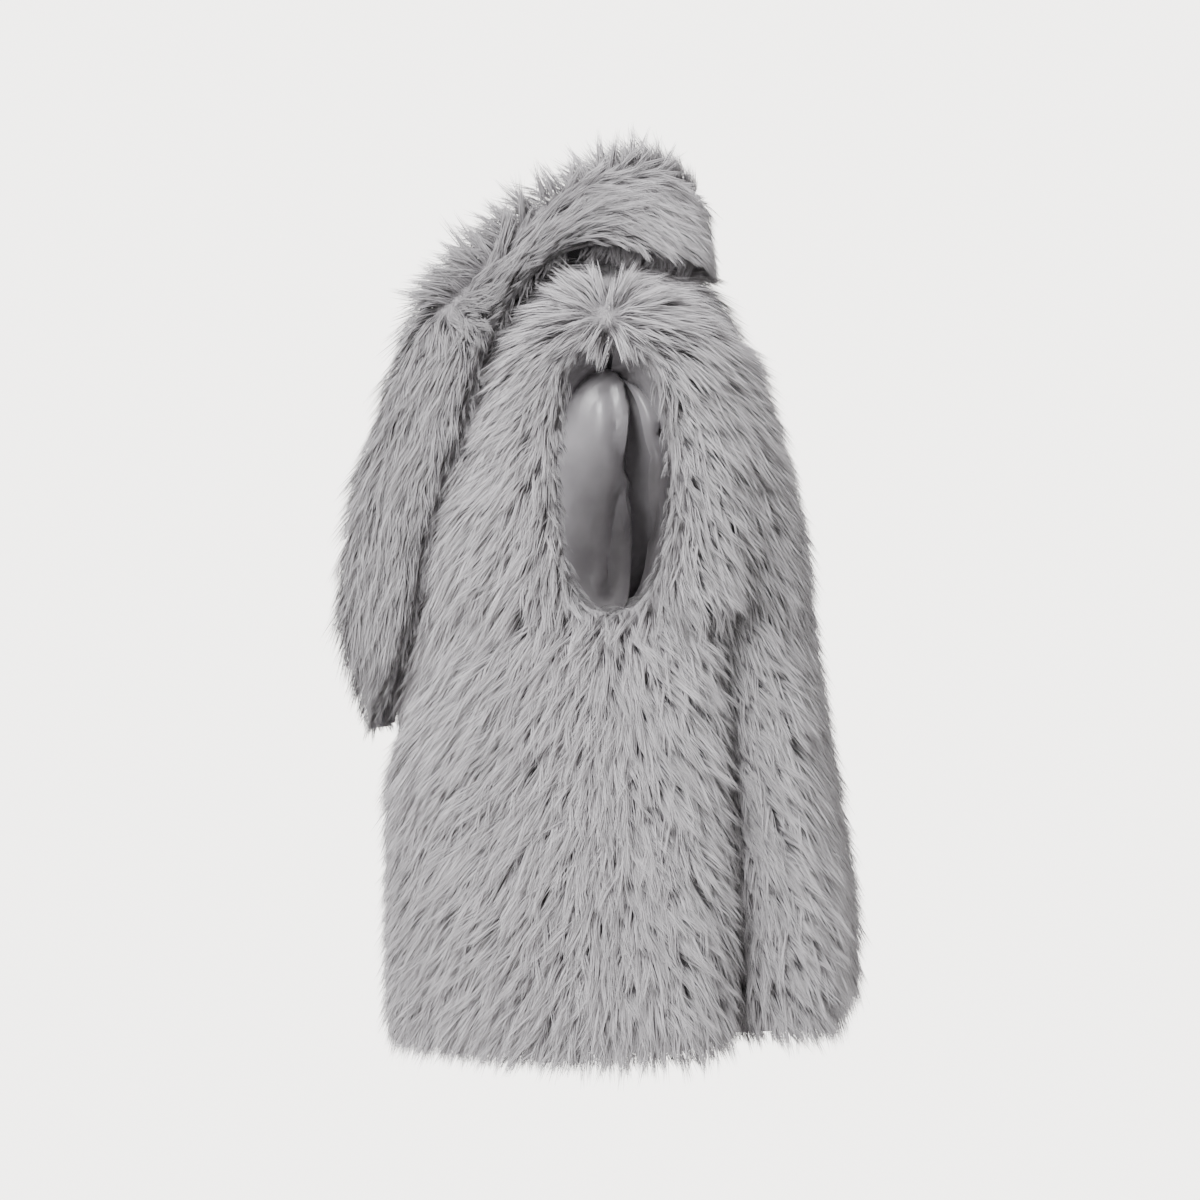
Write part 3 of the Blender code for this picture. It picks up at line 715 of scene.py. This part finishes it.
# The nap of the fronts: degrees that it turns from straight down towards the
# centre front, by place across. Round the shoulder's end it lies in a whorl.
FRONT_NAP = ([0.0, 0.12, 0.40, 0.75, 0.92, 1.0], [4.0, 10.0, 23.0, 25.0, 16.0, 0.0])
WHORL = 0.055
RIM_HAIR = 0.42
RIM_COVER = 1.6
RIM_INTO = 0.5  # the rim's nap leans into the armhole
RIM_OVER = 40.0  # over the cut end, by its depth in metres
RIM_DROOP = 0.6  # and down
FRONT_LOCKS = 6550
FRONT_SEED = 21  # the right side's is the next
BREAK_HAIR = 1.35  # the hair is longest just below the lapel's end
BREAK_DROP = 0.015
BREAK_REACH = 0.045


def panel_nap(grid, ways, places, table):
    """The way the pile is combed at each point of a panel."""
    along = -units(np.gradient(grid, axis=0))
    drop = np.array([0.0, 0.0, -1.0]) + ways * ways[:, :, 2:]
    steep = np.linalg.norm(drop, axis=2, keepdims=True)
    down = units(drop + along * (1.0 - steep))
    inward = np.cross(down, ways)
    inward *= np.sign((inward * -np.gradient(grid, axis=1)).sum(axis=2, keepdims=True))
    turn = np.radians(np.interp(places, *table))[None, :, None]
    combed = down * np.cos(turn) + inward * np.sin(turn)
    away = grid - SHOULDER_END
    near = bell(lengths(away) / WHORL)[:, :, None]
    away = units(away - ways * (away * ways).sum(axis=2, keepdims=True))
    return units(combed * (1.0 - near) + away * near)


def rim_face(low, high, out, combed, hair, cover):
    """A wall's cut end between two lines, as an open face for short hair."""
    rim = np.stack([low, (low + high) / 2.0, high], axis=1)
    ways = [way[:, None, :].repeat(3, axis=1) for way in (out, units(combed))]
    return [rim, *ways, np.full(rim.shape[:2], hair), np.full(rim.shape[:2], cover)]


def armhole_rim(grid, base):
    rows = grid[:, -1, 2] > ARM_BASE_Z - ARM_MARGIN
    low = grid[rows, -1]
    high = base[rows, -1]
    into = units(low - grid[rows, -2])
    combed = into * RIM_INTO + (high - low) * RIM_OVER + np.array([0.0, 0.0, -RIM_DROOP])
    return rim_face(low, high, into, combed, RIM_HAIR, RIM_COVER)


def mirrored_face(face):
    return [mirrored(part) for part in face[:3]] + face[3:]


def wear(piece, slot, *nodes):
    """The piece moves with the vest, and the imported parts that it replaces are hidden."""
    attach(piece, "root")
    if nodes:
        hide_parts(*nodes)


def cut_fur(piece, hairs, node):
    """A cut piece of fur cloth with its hair."""
    wear(piece, "fur", node)
    for hair in hairs:
        wear(hair, "fur")


def cut_pair(name, inner, base, faces, locks, seed, flat, area, **settings):
    """A piece of fur cloth with its hair on the left, and its mirror on the right."""
    for side in ("left", "right"):
        piece = make_wall(f"fur_{name}_{side}", [inner], [base], fur_cloth)
        hair = grow_fur(f"hair_{name}_{side}", faces, locks, seed, **settings)
        cut_fur(piece, [hair], f"{name}_{side}")
        inner = mirrored(inner)
        base = mirrored(base)
        faces = [mirrored_face(face) for face in faces]
        seed += 1


front, front_ways = panel_grid(FRONT_SECTIONS, FRONT_FOLDS, PANEL_ROWS, FRONT_PLACES)
front_depth, front_hair, front_cover = pile_depth(front, neck_cover(SHOULDER_STATION, BREAK_STATION))
front_base = front + front_ways * front_depth[:, :, None] * UNDERFUR
for grid in (front, front_base):
    grid[:, :, 0] = np.maximum(grid[:, :, 0], CENTRE_GAP)
    grid[:, :, 1] = np.minimum(grid[:, :, 1], SIDE_Y)
front_nap = panel_nap(front, front_ways, FRONT_PLACES, FRONT_NAP)
below_lapel = neck_edge(BREAK_STATION)[0] - [0.0, 0.0, BREAK_DROP]
below_lapel = bell(lengths(front - below_lapel) / BREAK_REACH)
front_hair = np.maximum(front_hair, BREAK_HAIR * below_lapel)
FRONT_CUT = (0.305, 0.665)
FRONT_AREA = 0.150
fur_cloth = [underfur, backing]
front_faces = [[front_base, front_ways, front_nap, front_hair, front_cover], armhole_rim(front, front_base)]
cut_pair("front", front, front_base, front_faces, FRONT_LOCKS, FRONT_SEED, FRONT_CUT, FRONT_AREA)


# The back.
# One piece of the same fur cloth, cut on the fold, that flares into soft
# flutes below the shoulder blades. It is sewn to the fronts at the sides and
# along the shoulders, and to the collar round the nape.
BACK_SECTIONS = [
    (-1, 0, 0.220, -0.684, 0.150, 0.245, SIDE_Y, HEM_Z, 0.00, -1.00, 0.0, 0.120),
    (-1, 0, 0.217, -0.594, 0.150, 0.240, SIDE_Y, -0.600, 0.00, -1.00, 0.0, 0.120),
    (-1, 0, 0.206, -0.520, 0.140, 0.232, SIDE_Y, -0.520, 0.00, -1.00, 0.0, 0.115),
    (-1, 0, 0.194, -0.450, 0.130, 0.225, SIDE_Y, -0.450, 0.00, -1.00, 0.0, 0.110),
    (-1, 0, 0.183, -0.375, 0.125, 0.215, SIDE_Y, -0.375, 0.00, -1.00, 0.0, 0.105),
    (-1, 0, 0.176, -0.325, 0.120, 0.209, SIDE_Y, ARM_BASE_Z, 0.00, -1.00, 0.0, 0.100),
    (-1, 0, 0.173, -0.300, 0.118, 0.209, 0.030, -0.315, 0.06, -1.00, 0.0, 0.085),
    (-1, 0, 0.170, -0.270, 0.115, 0.208, 0.050, -0.288, 0.12, -0.99, 0.0, 0.075),
    (-1, 0, 0.161, -0.220, 0.110, 0.206, 0.060, -0.240, 0.25, -0.97, 0.0, 0.065),
    (-1, 0, 0.145, -0.160, 0.100, 0.203, 0.062, -0.190, 0.40, -0.92, 0.0, 0.060),
    (-1, 0, 0.124, -0.100, 0.090, 0.199, 0.054, -0.140, 0.55, -0.83, -0.1, 0.055),
    (-1, 0, 0.096, -0.048, 0.075, 0.199, 0.046, -0.112, 0.62, -0.70, -0.35, 0.055),
    (0.0, 0, 0, 0, 0.045, 0.199, 0.034, -0.093, 0.66, -0.45, -0.60, 0.052),
    (1.4, 0, 0, 0, 0.020, 0.199, 0.021, -0.082, 0.64, -0.20, -0.74, 0.054),
    (3.0, 0, 0, 0, 0.015, 0.199, SIDE_Y, -0.077, 0.62, 0.00, -0.78, 0.056),
]
BACK_FOLDS = [
    Fold(0.18, 0.10, -0.010, -0.30),
    Fold(0.44, 0.09, 0.018, -0.18),
    Fold(0.63, 0.095, -0.040, -0.14),
    Fold(0.84, 0.10, 0.010, -0.30),
]
BACK_NAP = ([0.0, 0.15, 0.45, 0.65, 0.92, 1.0], [0.0, 9.0, 20.0, 17.0, 14.0, 0.0])
BACK_PLACES = np.linspace(0.0, 1.0, 33)
BACK_LOCKS = 6700  # on each half
BACK_SEED = 31
NAPE = np.array([0.0, 0.093, -0.022])
NAPE_HAIR = 1.5  # the hair below the collar's fall stands longest
NAPE_REACH = 0.044
NAPE_WIDE = np.array([0.4, 1.0, 1.0])
TROUGH = 0.63  # the deepest fold, where the hair lies flatter
TROUGH_WIDTH = 0.085
TROUGH_TOP = -0.12
TROUGH_RUN = 0.25  # height over which it deepens
TROUGH_PRESS = 0.46
TROUGH_COVER = 0.6

back, back_ways = panel_grid(BACK_SECTIONS, BACK_FOLDS, PANEL_ROWS, BACK_PLACES)
back_depth, back_hair, back_cover = pile_depth(back, neck_cover(0.0, SHOULDER_STATION))
below_nape = np.arange(PANEL_ROWS) <= NAPE_ROW
back_base = back + back_ways * back_depth[:, :, None] * UNDERFUR
for grid in (back, back_base):
    grid[:, :, 1] = np.maximum(grid[:, :, 1], SIDE_Y)
    grid[below_nape, 0, 0] = 0.0
back_nap = panel_nap(back, back_ways, BACK_PLACES, BACK_NAP)
trough = bell((BACK_PLACES - TROUGH) / TROUGH_WIDTH)[None, :]
# The trough's shorter hair is also darkened there, as painted shade.
back_hair = back_hair * (1.0 - TROUGH_PRESS * trough * smooth((TROUGH_TOP - back[:, :, 2]) / TROUGH_RUN))
back_cover = back_cover * (1.0 + TROUGH_COVER * trough)
below_fall = bell(lengths((back - NAPE) * NAPE_WIDE) / NAPE_REACH)
back_hair = np.maximum(back_hair, NAPE_HAIR * below_fall)
back_cover = np.maximum(back_cover, below_fall)
halves = [[grid, mirrored(grid)] for grid in (back, back_base)]
back_piece = make_wall("fur_back", *halves, fur_cloth, NAPE_ROW)
back_faces = [[back_base, back_ways, back_nap, back_hair, back_cover], armhole_rim(back, back_base)]
back_left_hair = grow_fur("hair_back_left", back_faces, BACK_LOCKS, BACK_SEED)
back_faces = [mirrored_face(face) for face in back_faces]
back_right_hair = grow_fur("hair_back_right", back_faces, BACK_LOCKS, BACK_SEED + 1)
cut_fur(back_piece, [back_left_hair, back_right_hair], "back")


# The collar and the lapels.
# Doubled fur cloth, sewn round the neckline, that stands up and turns over on
# a thick roll: a high collar behind, and lapels folded back down to the break
# of the front edge. The pile covers stand, roll and fall.
ROLL_STEPS = 12
LEG_STEPS = 8
COLLAR_STATIONS = 25
LAPEL_STATIONS = 45
SEAM_STEP = 0.01  # stations from the shoulder seam to either piece's end
FALL_BOW = 0.4  # how round the fall leaves the roll, by its length
FOOT_ROUND = 0.4  # the sewn edge starts this far into a free edge's rounding
COLLAR_UNDERFUR = 0.45
PARTING = 0.60  # place on the section where the collar's hair parts
LAPEL_PARTING = 0.34
PARTING_COVER = 0.7  # more locks close the lapel's parting
PARTING_WIDTH = 0.09
PARTING_BLEND = 0.10
TIP_PRESS = 0.45  # share by which hair is shorter at the lapel's lower end
TIP_FROM = 7.8  # stations where that begins, and over which it deepens
TIP_RUN = 2.2
NAPE_PRESS = 0.30  # and on the collar at the nape
NAPE_TO = 1.8
NAPE_RUN = 1.4
COLLAR_HAIR = 0.85  # the collar's share of a full lock, and its free edge's
COLLAR_RIM_HAIR = 0.60
LAPEL_RIM_HAIR = 0.42
FALL_RIM_COVER = 1.8
FALL_RIM_OVER = 30.0
STAND_COVER = 0.35  # share of the locks that grow at the stand's foot
STAND_FROM = 0.10  # place on the section from which they thicken, and over which
STAND_BLEND = 0.15
# Painted shade on the collar and lapels: how much their shorter locks are darkened.
COLLAR_PAINTED_SHADE = 0.25
# Degrees that the fall's nap turns from its free edge towards the nape.
FALL_NAP = ([0.0, 0.6, 1.6, 3.0, 4.4], [0.0, 12.0, 48.0, 64.0, 60.0])
LAPEL_NAP = 0.35  # how much the lapel's nap leans to its free edge
LAPEL_FROM = 4.5  # station where the collar's nap turns to the lapel's
LAPEL_BLEND = 0.9
STAND_NAP = 0.85  # the stand's nap, down into the neck and forward
STAND_LEAN = 0.5
TIP_HAIR = 0.30  # share of a lock's length at the lapel's lower end
TIP_HAIR_FROM = 8.6
TIP_HAIR_RUN = 1.2
LAPEL_CUT = (0.130, 0.480)
LAPEL_AREA = 0.050
COLLAR_LOCKS = 4200
COLLAR_SEED = 41
LAPEL_LOCKS = 3500
LAPEL_SEED = 51
LAPEL_PAINTED_SHADE = 0.78  # painted shade: the lapel's locks are darkened as a whole


def roll_section(station):
    """Mid line of the turned-over wall and its ways in, foot to free edge."""
    roll, middle, up, outward = roll_at(station)
    radius = (COLLAR_WALL + ROLL_SLOT) / 2.0 * roll.size
    points = []
    for step in range(LEG_STEPS):
        points.append(middle - outward * radius - up * roll.stand * (1.0 - step / LEG_STEPS))
    for step in range(ROLL_STEPS + 1):
        angle = math.pi * step / ROLL_STEPS
        points.append(middle - outward * radius * math.cos(angle) + up * radius * math.sin(angle))
    start = points[-1]
    end = middle + np.array([roll.fx, roll.fy, roll.fz])
    reach = np.linalg.norm(end - start) * FALL_BOW
    for step in range(1, LEG_STEPS + 2):
        share = step / (LEG_STEPS + 1)
        points.append(bezier(start, -up * reach, end, unit(end - start) * reach, share))
    points = np.array(points)
    ways = units(np.gradient(points, axis=0))
    side = unit(np.cross(up, outward))
    return points, np.cross(side, ways), roll.size


def collar_grids(first, last, count):
    """Under face, underfur, ways out, depth, place on the section and station."""
    under = []
    base = []
    out = []
    depths = []
    places = []
    stations = np.linspace(first, last, count)
    for station in stations:
        points, inward, size = roll_section(station)
        steps = np.linalg.norm(np.diff(points, axis=0), axis=1)
        run = np.concatenate([[0.0], np.cumsum(steps)])
        share = edge_share(np.minimum(run[-1] - run, run + EDGE_ROUND * FOOT_ROUND))
        wall = (share * COLLAR_WALL * size)[:, None]
        under.append(points + inward * wall / 2.0)
        base.append(points + inward * wall * (0.5 - COLLAR_UNDERFUR))
        out.append(-inward)
        depths.append(share * size)
        places.append(run / run[-1])
    return np.array(under), np.array(base), np.array(out), np.array(depths), np.array(places), stations


def fall_rim(under, base, share):
    """The fall's free edge, where hair droops over the cut end."""
    low = under[:, -1]
    high = base[:, -1]
    combed = (high - low) * FALL_RIM_OVER + np.array([0.0, 0.0, -1.0])
    return rim_face(low, high, units(low - under[:, -2]), combed, share, FALL_RIM_COVER)


def collar_nap(base, out, places, stations):
    """The way the collar's pile is combed: out from a parting, and down the lapels."""
    forward = units(np.gradient(base, axis=0))
    falling = units(np.gradient(base, axis=1))
    at = stations[:, None, None]
    place = places[:, :, None]
    lapel = smooth((at - LAPEL_FROM) / LAPEL_BLEND)
    parting = PARTING + (LAPEL_PARTING - PARTING) * lapel
    fall_side = smooth((place - parting) / PARTING_BLEND + 0.5)
    turn = np.radians(np.interp(stations, *FALL_NAP))[:, None, None]
    fall = falling * np.cos(turn) - forward * np.sin(turn)
    lapel_fall = forward + falling * LAPEL_NAP
    fall = fall * (1.0 - lapel) + lapel_fall * lapel
    inner = -falling * STAND_NAP + forward * STAND_LEAN * smooth(at)
    lapel_inner = forward - falling * LAPEL_NAP
    inner = inner * (1.0 - lapel) + lapel_inner * lapel
    combed = inner * (1.0 - fall_side) + fall * fall_side
    return units(combed - out * (combed * out).sum(axis=2, keepdims=True))


shoulder = SHOULDER_STATION - SEAM_STEP
under, base, out, depths, places, stations = collar_grids(0.0, shoulder, COLLAR_STATIONS)
combed = collar_nap(base, out, places, stations)
cover = STAND_COVER + (1.0 - STAND_COVER) * smooth((places - STAND_FROM) / STAND_BLEND)
halves = [[np.concatenate([mirrored(grid)[:0:-1], grid])] for grid in (under, base)]
collar = make_wall("fur_collar_back", *halves, fur_cloth)
flat_nape = 1.0 - NAPE_PRESS * smooth((NAPE_TO - stations) / NAPE_RUN)[:, None]
short_hair = depths * flat_nape * COLLAR_HAIR
collar_faces = [[base, out, combed, short_hair, cover], fall_rim(under, base, COLLAR_RIM_HAIR)]
collar_faces += [mirrored_face(face) for face in collar_faces]
collar_painted_shade = {"Painted Shade": COLLAR_PAINTED_SHADE}
collar_hair = grow_fur("hair_collar_back", collar_faces, COLLAR_LOCKS, COLLAR_SEED, **collar_painted_shade)
cut_fur(collar, [collar_hair], "collar_back")

shoulder = SHOULDER_STATION + SEAM_STEP
under, base, out, depths, places, stations = collar_grids(shoulder, BREAK_STATION, LAPEL_STATIONS)
combed = collar_nap(base, out, places, stations)
parted = 1.0 + PARTING_COVER * bell((places - LAPEL_PARTING) / PARTING_WIDTH)
flat_tip = 1.0 - TIP_PRESS * smooth((stations - TIP_FROM) / TIP_RUN)[:, None]
tip_hair = TIP_HAIR * smooth((stations - TIP_HAIR_FROM) / TIP_HAIR_RUN)[:, None]
tip_hair = np.maximum(depths * flat_tip, tip_hair)
lapel_faces = [[base, out, combed, tip_hair, parted], fall_rim(under, base, LAPEL_RIM_HAIR)]
# Painted shade on the lapels: their locks' tone is lowered throughout, and more where they are shorter.
lapel_painted_shade = {"Tone": LAPEL_PAINTED_SHADE, **collar_painted_shade}
cut_pair("lapel", under, base, lapel_faces, LAPEL_LOCKS, LAPEL_SEED, LAPEL_CUT, LAPEL_AREA, **lapel_painted_shade)

for shape in list(lock_shapes.objects):
    bpy.data.objects.remove(shape, do_unlink=True)
bpy.data.collections.remove(lock_shapes)


# The lining.
# Two fronts and a back in polyester satin, sewn in at the shoulders and sides
# and looser than the fur cloth, so that it falls in soft upright folds. On the
# wearer's right its slack hangs across behind the armhole.
ARM_MIDDLE_Y = 0.012
ARM_HALF_WIDTH = 0.050
LINING_WALL = 0.0012
LINING_DEPTH = 0.0040  # from the fur's backing to the lining
LINING_SEAM = 0.0007
LINING_FOLD = 0.004
SEWN_SHARE = 0.06  # share of a section over which it leaves the seam
LINING_WAVES = 3.0
LINING_HEM_ROW = 2
LINING_TOP_ROW = 55
LINING_SPLIT = 2  # fine columns to each step of places
CREASE = 0.0060  # depth of the loose lining's soft creases
INNER_HOLD = 0.03  # distances from a row's two ends over which they begin
SIDE_HOLD = 0.02
SLACK_SPLIT = 4  # finer columns where the slack hangs
BY_SIDE_SEAM = [0.9, 0.92, 0.936, 0.952, 0.968, 0.984]
FRONT_LINING = np.array([0.12, 0.2, 0.28, 0.37, 0.46, 0.55, 0.64, 0.73, 0.82, *BY_SIDE_SEAM])
BACK_LINING = np.array([0.0, 0.07, 0.14, 0.21, 0.28, 0.35, 0.42, 0.5, 0.58, 0.66, 0.74, 0.82, *BY_SIDE_SEAM])

# Waves of the soft creases: share of their depth, radians to a metre along a
# row and up, the angle each starts from and how far it sways.
Wave = namedtuple("Wave", "share along up start sway")
WAVES = [
    Wave(0.22, 97.0, -9.0, 1.3, 0.0),
    Wave(0.18, 215.0, 16.0, 0.0, 1.0),
    Wave(0.10, 420.0, -31.0, 0.6, 0.0),
]
SWAY_UP = 23.0  # radians to a metre up, of the sway
MEAN_CREASE = 0.5

# The slack: place and how far it hangs in from the armhole's line.
Slack = namedtuple("Slack", "y deep")
FRONT_SLACK = [
    Slack(-0.022, 0.034),
    Slack(0.006, 0.044),
    Slack(0.026, 0.038),
    Slack(0.027, 0.008),
    Slack(0.057, 0.002),
]
BACK_SLACK = [
    Slack(0.070, 0.012),
    Slack(0.068, 0.027),
    Slack(0.064, 0.037),
    Slack(0.058, 0.041),
    Slack(0.050, 0.036),
]

# The slack's main creases: where each starts and ends (y, z), its half width
# and how far it sinks.
Crease = namedtuple("Crease", "y0 z0 y1 z1 half deep")
FRONT_CREASES = [
    Crease(0.012, -0.100, 0.023, -0.175, 0.007, 0.008),
    Crease(0.018, -0.200, 0.004, -0.295, 0.007, 0.014),
]
BACK_CREASES = [
    Crease(0.060, -0.140, 0.050, -0.165, 0.006, 0.006),
    Crease(0.061, -0.205, 0.050, -0.240, 0.006, 0.008),
]
SLACK_TOP = -0.074  # heights between which it hangs
SLACK_BASE = -0.330
SLACK_FADE = 0.009

# Polyester satin: long floats of fine filament, which give a soft sheen along
# the folds. The floats are drawn 1 mm wide, wider than real, so that they show.
satin, tree, shader = new_material("polyester_satin")
place = add(tree, "ShaderNodeTexCoord")
floats = add(
    tree,
    "ShaderNodeTexWave",
    {"Vector": place.outputs["Object"], "Scale": 320.0, "Distortion": 2.0, "Detail": 2.0},
    bands_direction="Y",
)
cloud = add(tree, "ShaderNodeTexNoise", {"Vector": place.outputs["Object"], "Scale": 22.0, "Detail": 3.0})
ramp = add(tree, "ShaderNodeValToRGB", {"Fac": cloud.outputs["Fac"]})
fill_ramp(ramp, [(0.30, "#949195"), (0.70, "#aba8ac")])
tree.links.new(ramp.outputs["Color"], shader.inputs["Base Color"])
bump = add(tree, "ShaderNodeBump", {"Height": floats.outputs["Fac"], "Strength": 0.12, "Distance": 0.0003})
tree.links.new(bump.outputs["Normal"], shader.inputs["Normal"])
shader.inputs["Roughness"].default_value = 0.36
shader.inputs["Specular IOR Level"].default_value = 0.55
shader.inputs["IOR"].default_value = 1.54
shader.inputs["Sheen Weight"].default_value = 0.3


def finer(grid, split):
    """More columns in a grid, on a smooth curve through each row."""
    columns = grid.shape[1]
    stops = np.linspace(0.0, columns - 1.0, (columns - 1) * split + 1)
    turned = grid.transpose(1, 0, 2).reshape(columns, -1)
    rows = np.array([read_table(turned, stop) for stop in stops])
    return rows.reshape(len(stops), -1, 3).transpose(1, 0, 2)


def crease_depth(grid, creases):
    """How far the creases sink the cloth at each of its points."""
    depth = np.zeros(grid.shape[:2])
    for crease in creases:
        start = np.array([crease.y0, crease.z0])
        run = np.array([crease.y1, crease.z1]) - start
        away = grid[:, :, 1:] - start
        share = np.clip(away.dot(run) / run.dot(run), 0.0, 1.0)
        gap = lengths(away - share[:, :, None] * run)
        depth += crease.deep * bell(gap / crease.half)
    return depth


def lining_faces(sections, folds, places, slack, creases, split):
    """The lining's inner and outer face, inside a panel's backing."""
    grid, ways = panel_grid(sections, folds, PANEL_ROWS, places)
    grid = grid[LINING_HEM_ROW:LINING_TOP_ROW]
    ways = ways[LINING_HEM_ROW:LINING_TOP_ROW]
    facing = 1.0 if grid[0, -1, 1] > grid[0, 0, 1] else -1.0
    loose = smooth((places[-1] - places) / SEWN_SHARE)
    waves = np.sin(places * math.pi * LINING_WAVES) ** 2
    sink = LINING_SEAM + (LINING_DEPTH - LINING_SEAM + LINING_FOLD * waves) * loose
    outer = grid - ways * sink[None, :, None]
    if slack:
        for i in range(len(outer)):
            edge = outer[i, -1].copy()
            width = min(1.0, (ARM_MIDDLE_Y - edge[1]) * facing / ARM_HALF_WIDTH)
            hang = smooth((SLACK_TOP - edge[2]) / SLACK_FADE) * smooth((edge[2] - SLACK_BASE) / SLACK_FADE)
            for j, (y, deep) in enumerate(slack):
                column = len(places) - len(slack) + j
                across = ARM_MIDDLE_Y + (y - ARM_MIDDLE_Y) * width
                behind = np.array([edge[0] - deep * width, across, edge[2]])
                outer[i, column] = outer[i, column] * (1.0 - hang) + behind * hang
    outer = finer(outer, split)
    normals = units(np.cross(np.gradient(outer, axis=1), np.gradient(outer, axis=0)) * facing)
    run = run_along(outer)
    near_end = run[:, -1:] - run
    free = smooth(run / INNER_HOLD) * smooth(near_end / SIDE_HOLD)
    height = outer[:, :, 2]
    crease = MEAN_CREASE
    for wave in WAVES:
        angle = run * wave.along + height * wave.up + wave.start
        crease = crease + wave.share * np.sin(angle + wave.sway * np.sin(height * SWAY_UP))
    outer = outer - normals * (CREASE * crease * free - crease_depth(outer, creases))[:, :, None]
    return outer - normals * LINING_WALL, outer


def cut_lining(name, halves, joined_rows=0):
    """A cut piece of satin, from the inner and outer face of each half."""
    piece = make_wall(f"satin_{name}", *zip(*halves), [satin, satin], joined_rows)
    wear(piece, "satin", f"lining_{name}")


front_tables = (FRONT_SECTIONS, FRONT_FOLDS, FRONT_LINING)
back_tables = (BACK_SECTIONS, BACK_FOLDS, BACK_LINING)
left_front = lining_faces(*front_tables, [], [], LINING_SPLIT)
right_front = lining_faces(*front_tables, FRONT_SLACK, FRONT_CREASES, SLACK_SPLIT)
right_front = [mirrored(face) for face in right_front]
left_back = lining_faces(*back_tables, [], [], LINING_SPLIT)
right_back = lining_faces(*back_tables, BACK_SLACK, BACK_CREASES, SLACK_SPLIT)
right_back = [mirrored(face) for face in right_back]
lining_nape = NAPE_ROW - LINING_HEM_ROW
for grid in (*left_back, *right_back):
    grid[: lining_nape + 1, 0, 0] = 0.0
cut_lining("front_left", [left_front])
cut_lining("front_right", [right_front])
cut_lining("back", [left_back, right_back], lining_nape)


# The studio: a plain pale floor well below the hung vest, soft light from all
# round, and the camera level with the armhole on the wearer's left.
FLOOR_Z = -1.15
FLOOR_REACH = 1.1
ROOM_LIGHT = 0.34  # what the white room gives from all round
BACKDROP = 5.2  # how bright its lit wall looks behind the vest
FLOOR_SIDES = 96
LIGHT_AIM = np.array([0.0, 0.0, -0.3])
CAMERA_PLACE = (2.6, 0.0, -0.31)
CAMERA_LENS = 81.4
SENSOR_WIDTH = 36.0
mesh = bpy.data.meshes.new("floor")
turns = [2.0 * math.pi * k / FLOOR_SIDES for k in range(FLOOR_SIDES)]
rim = [(math.cos(turn) * FLOOR_REACH, math.sin(turn) * FLOOR_REACH, FLOOR_Z) for turn in turns]
mesh.from_pydata(rim, [], [range(FLOOR_SIDES)])
floor = new_object("floor", mesh)
paint, _, shader = new_material("matt_pale_floor")
shader.inputs["Base Color"].default_value = linear("#f1f0ef")
shader.inputs["Roughness"].default_value = 0.95
mesh.materials.append(paint)

world = bpy.data.worlds.new("studio")
world.use_nodes = True
tree = world.node_tree
background = tree.nodes["Background"]
background.inputs["Color"].default_value = linear("#f5f2ee")
seen = add(tree, "ShaderNodeLightPath").outputs["Is Camera Ray"]
brightness = add(tree, "ShaderNodeMapRange", {"Value": seen, "To Min": ROOM_LIGHT, "To Max": BACKDROP})
tree.links.new(brightness.outputs["Result"], background.inputs["Strength"])
bpy.context.scene.world = world


def add_light(name, place, size, energy):
    """A square soft light that faces the vest."""
    lamp = bpy.data.lights.new(name, "AREA")
    lamp.size = size
    lamp.energy = energy
    item = new_object(name, lamp)
    item.location = place
    way = LIGHT_AIM - np.array(place)
    tilt = math.atan2(math.hypot(way[0], way[1]), -way[2])
    item.rotation_euler = (tilt, 0.0, math.atan2(way[1], way[0]) - math.pi / 2)


add_light("key", (1.8, -0.9, 1.5), 0.7, 135.0)
add_light("camera_side", (2.3, -0.8, 0.2), 0.6, 32.0)
add_light("far_side", (-2.3, -0.2, 1.2), 1.5, 75.0)
add_light("behind", (-0.5, 2.4, 0.9), 1.5, 50.0)

camera = new_object("camera", bpy.data.cameras.new("camera"))
camera.location = CAMERA_PLACE
camera.rotation_euler = (math.pi / 2.0, 0.0, math.pi / 2.0)
camera.data.sensor_width = SENSOR_WIDTH
camera.data.lens = CAMERA_LENS
bpy.context.scene.camera = camera
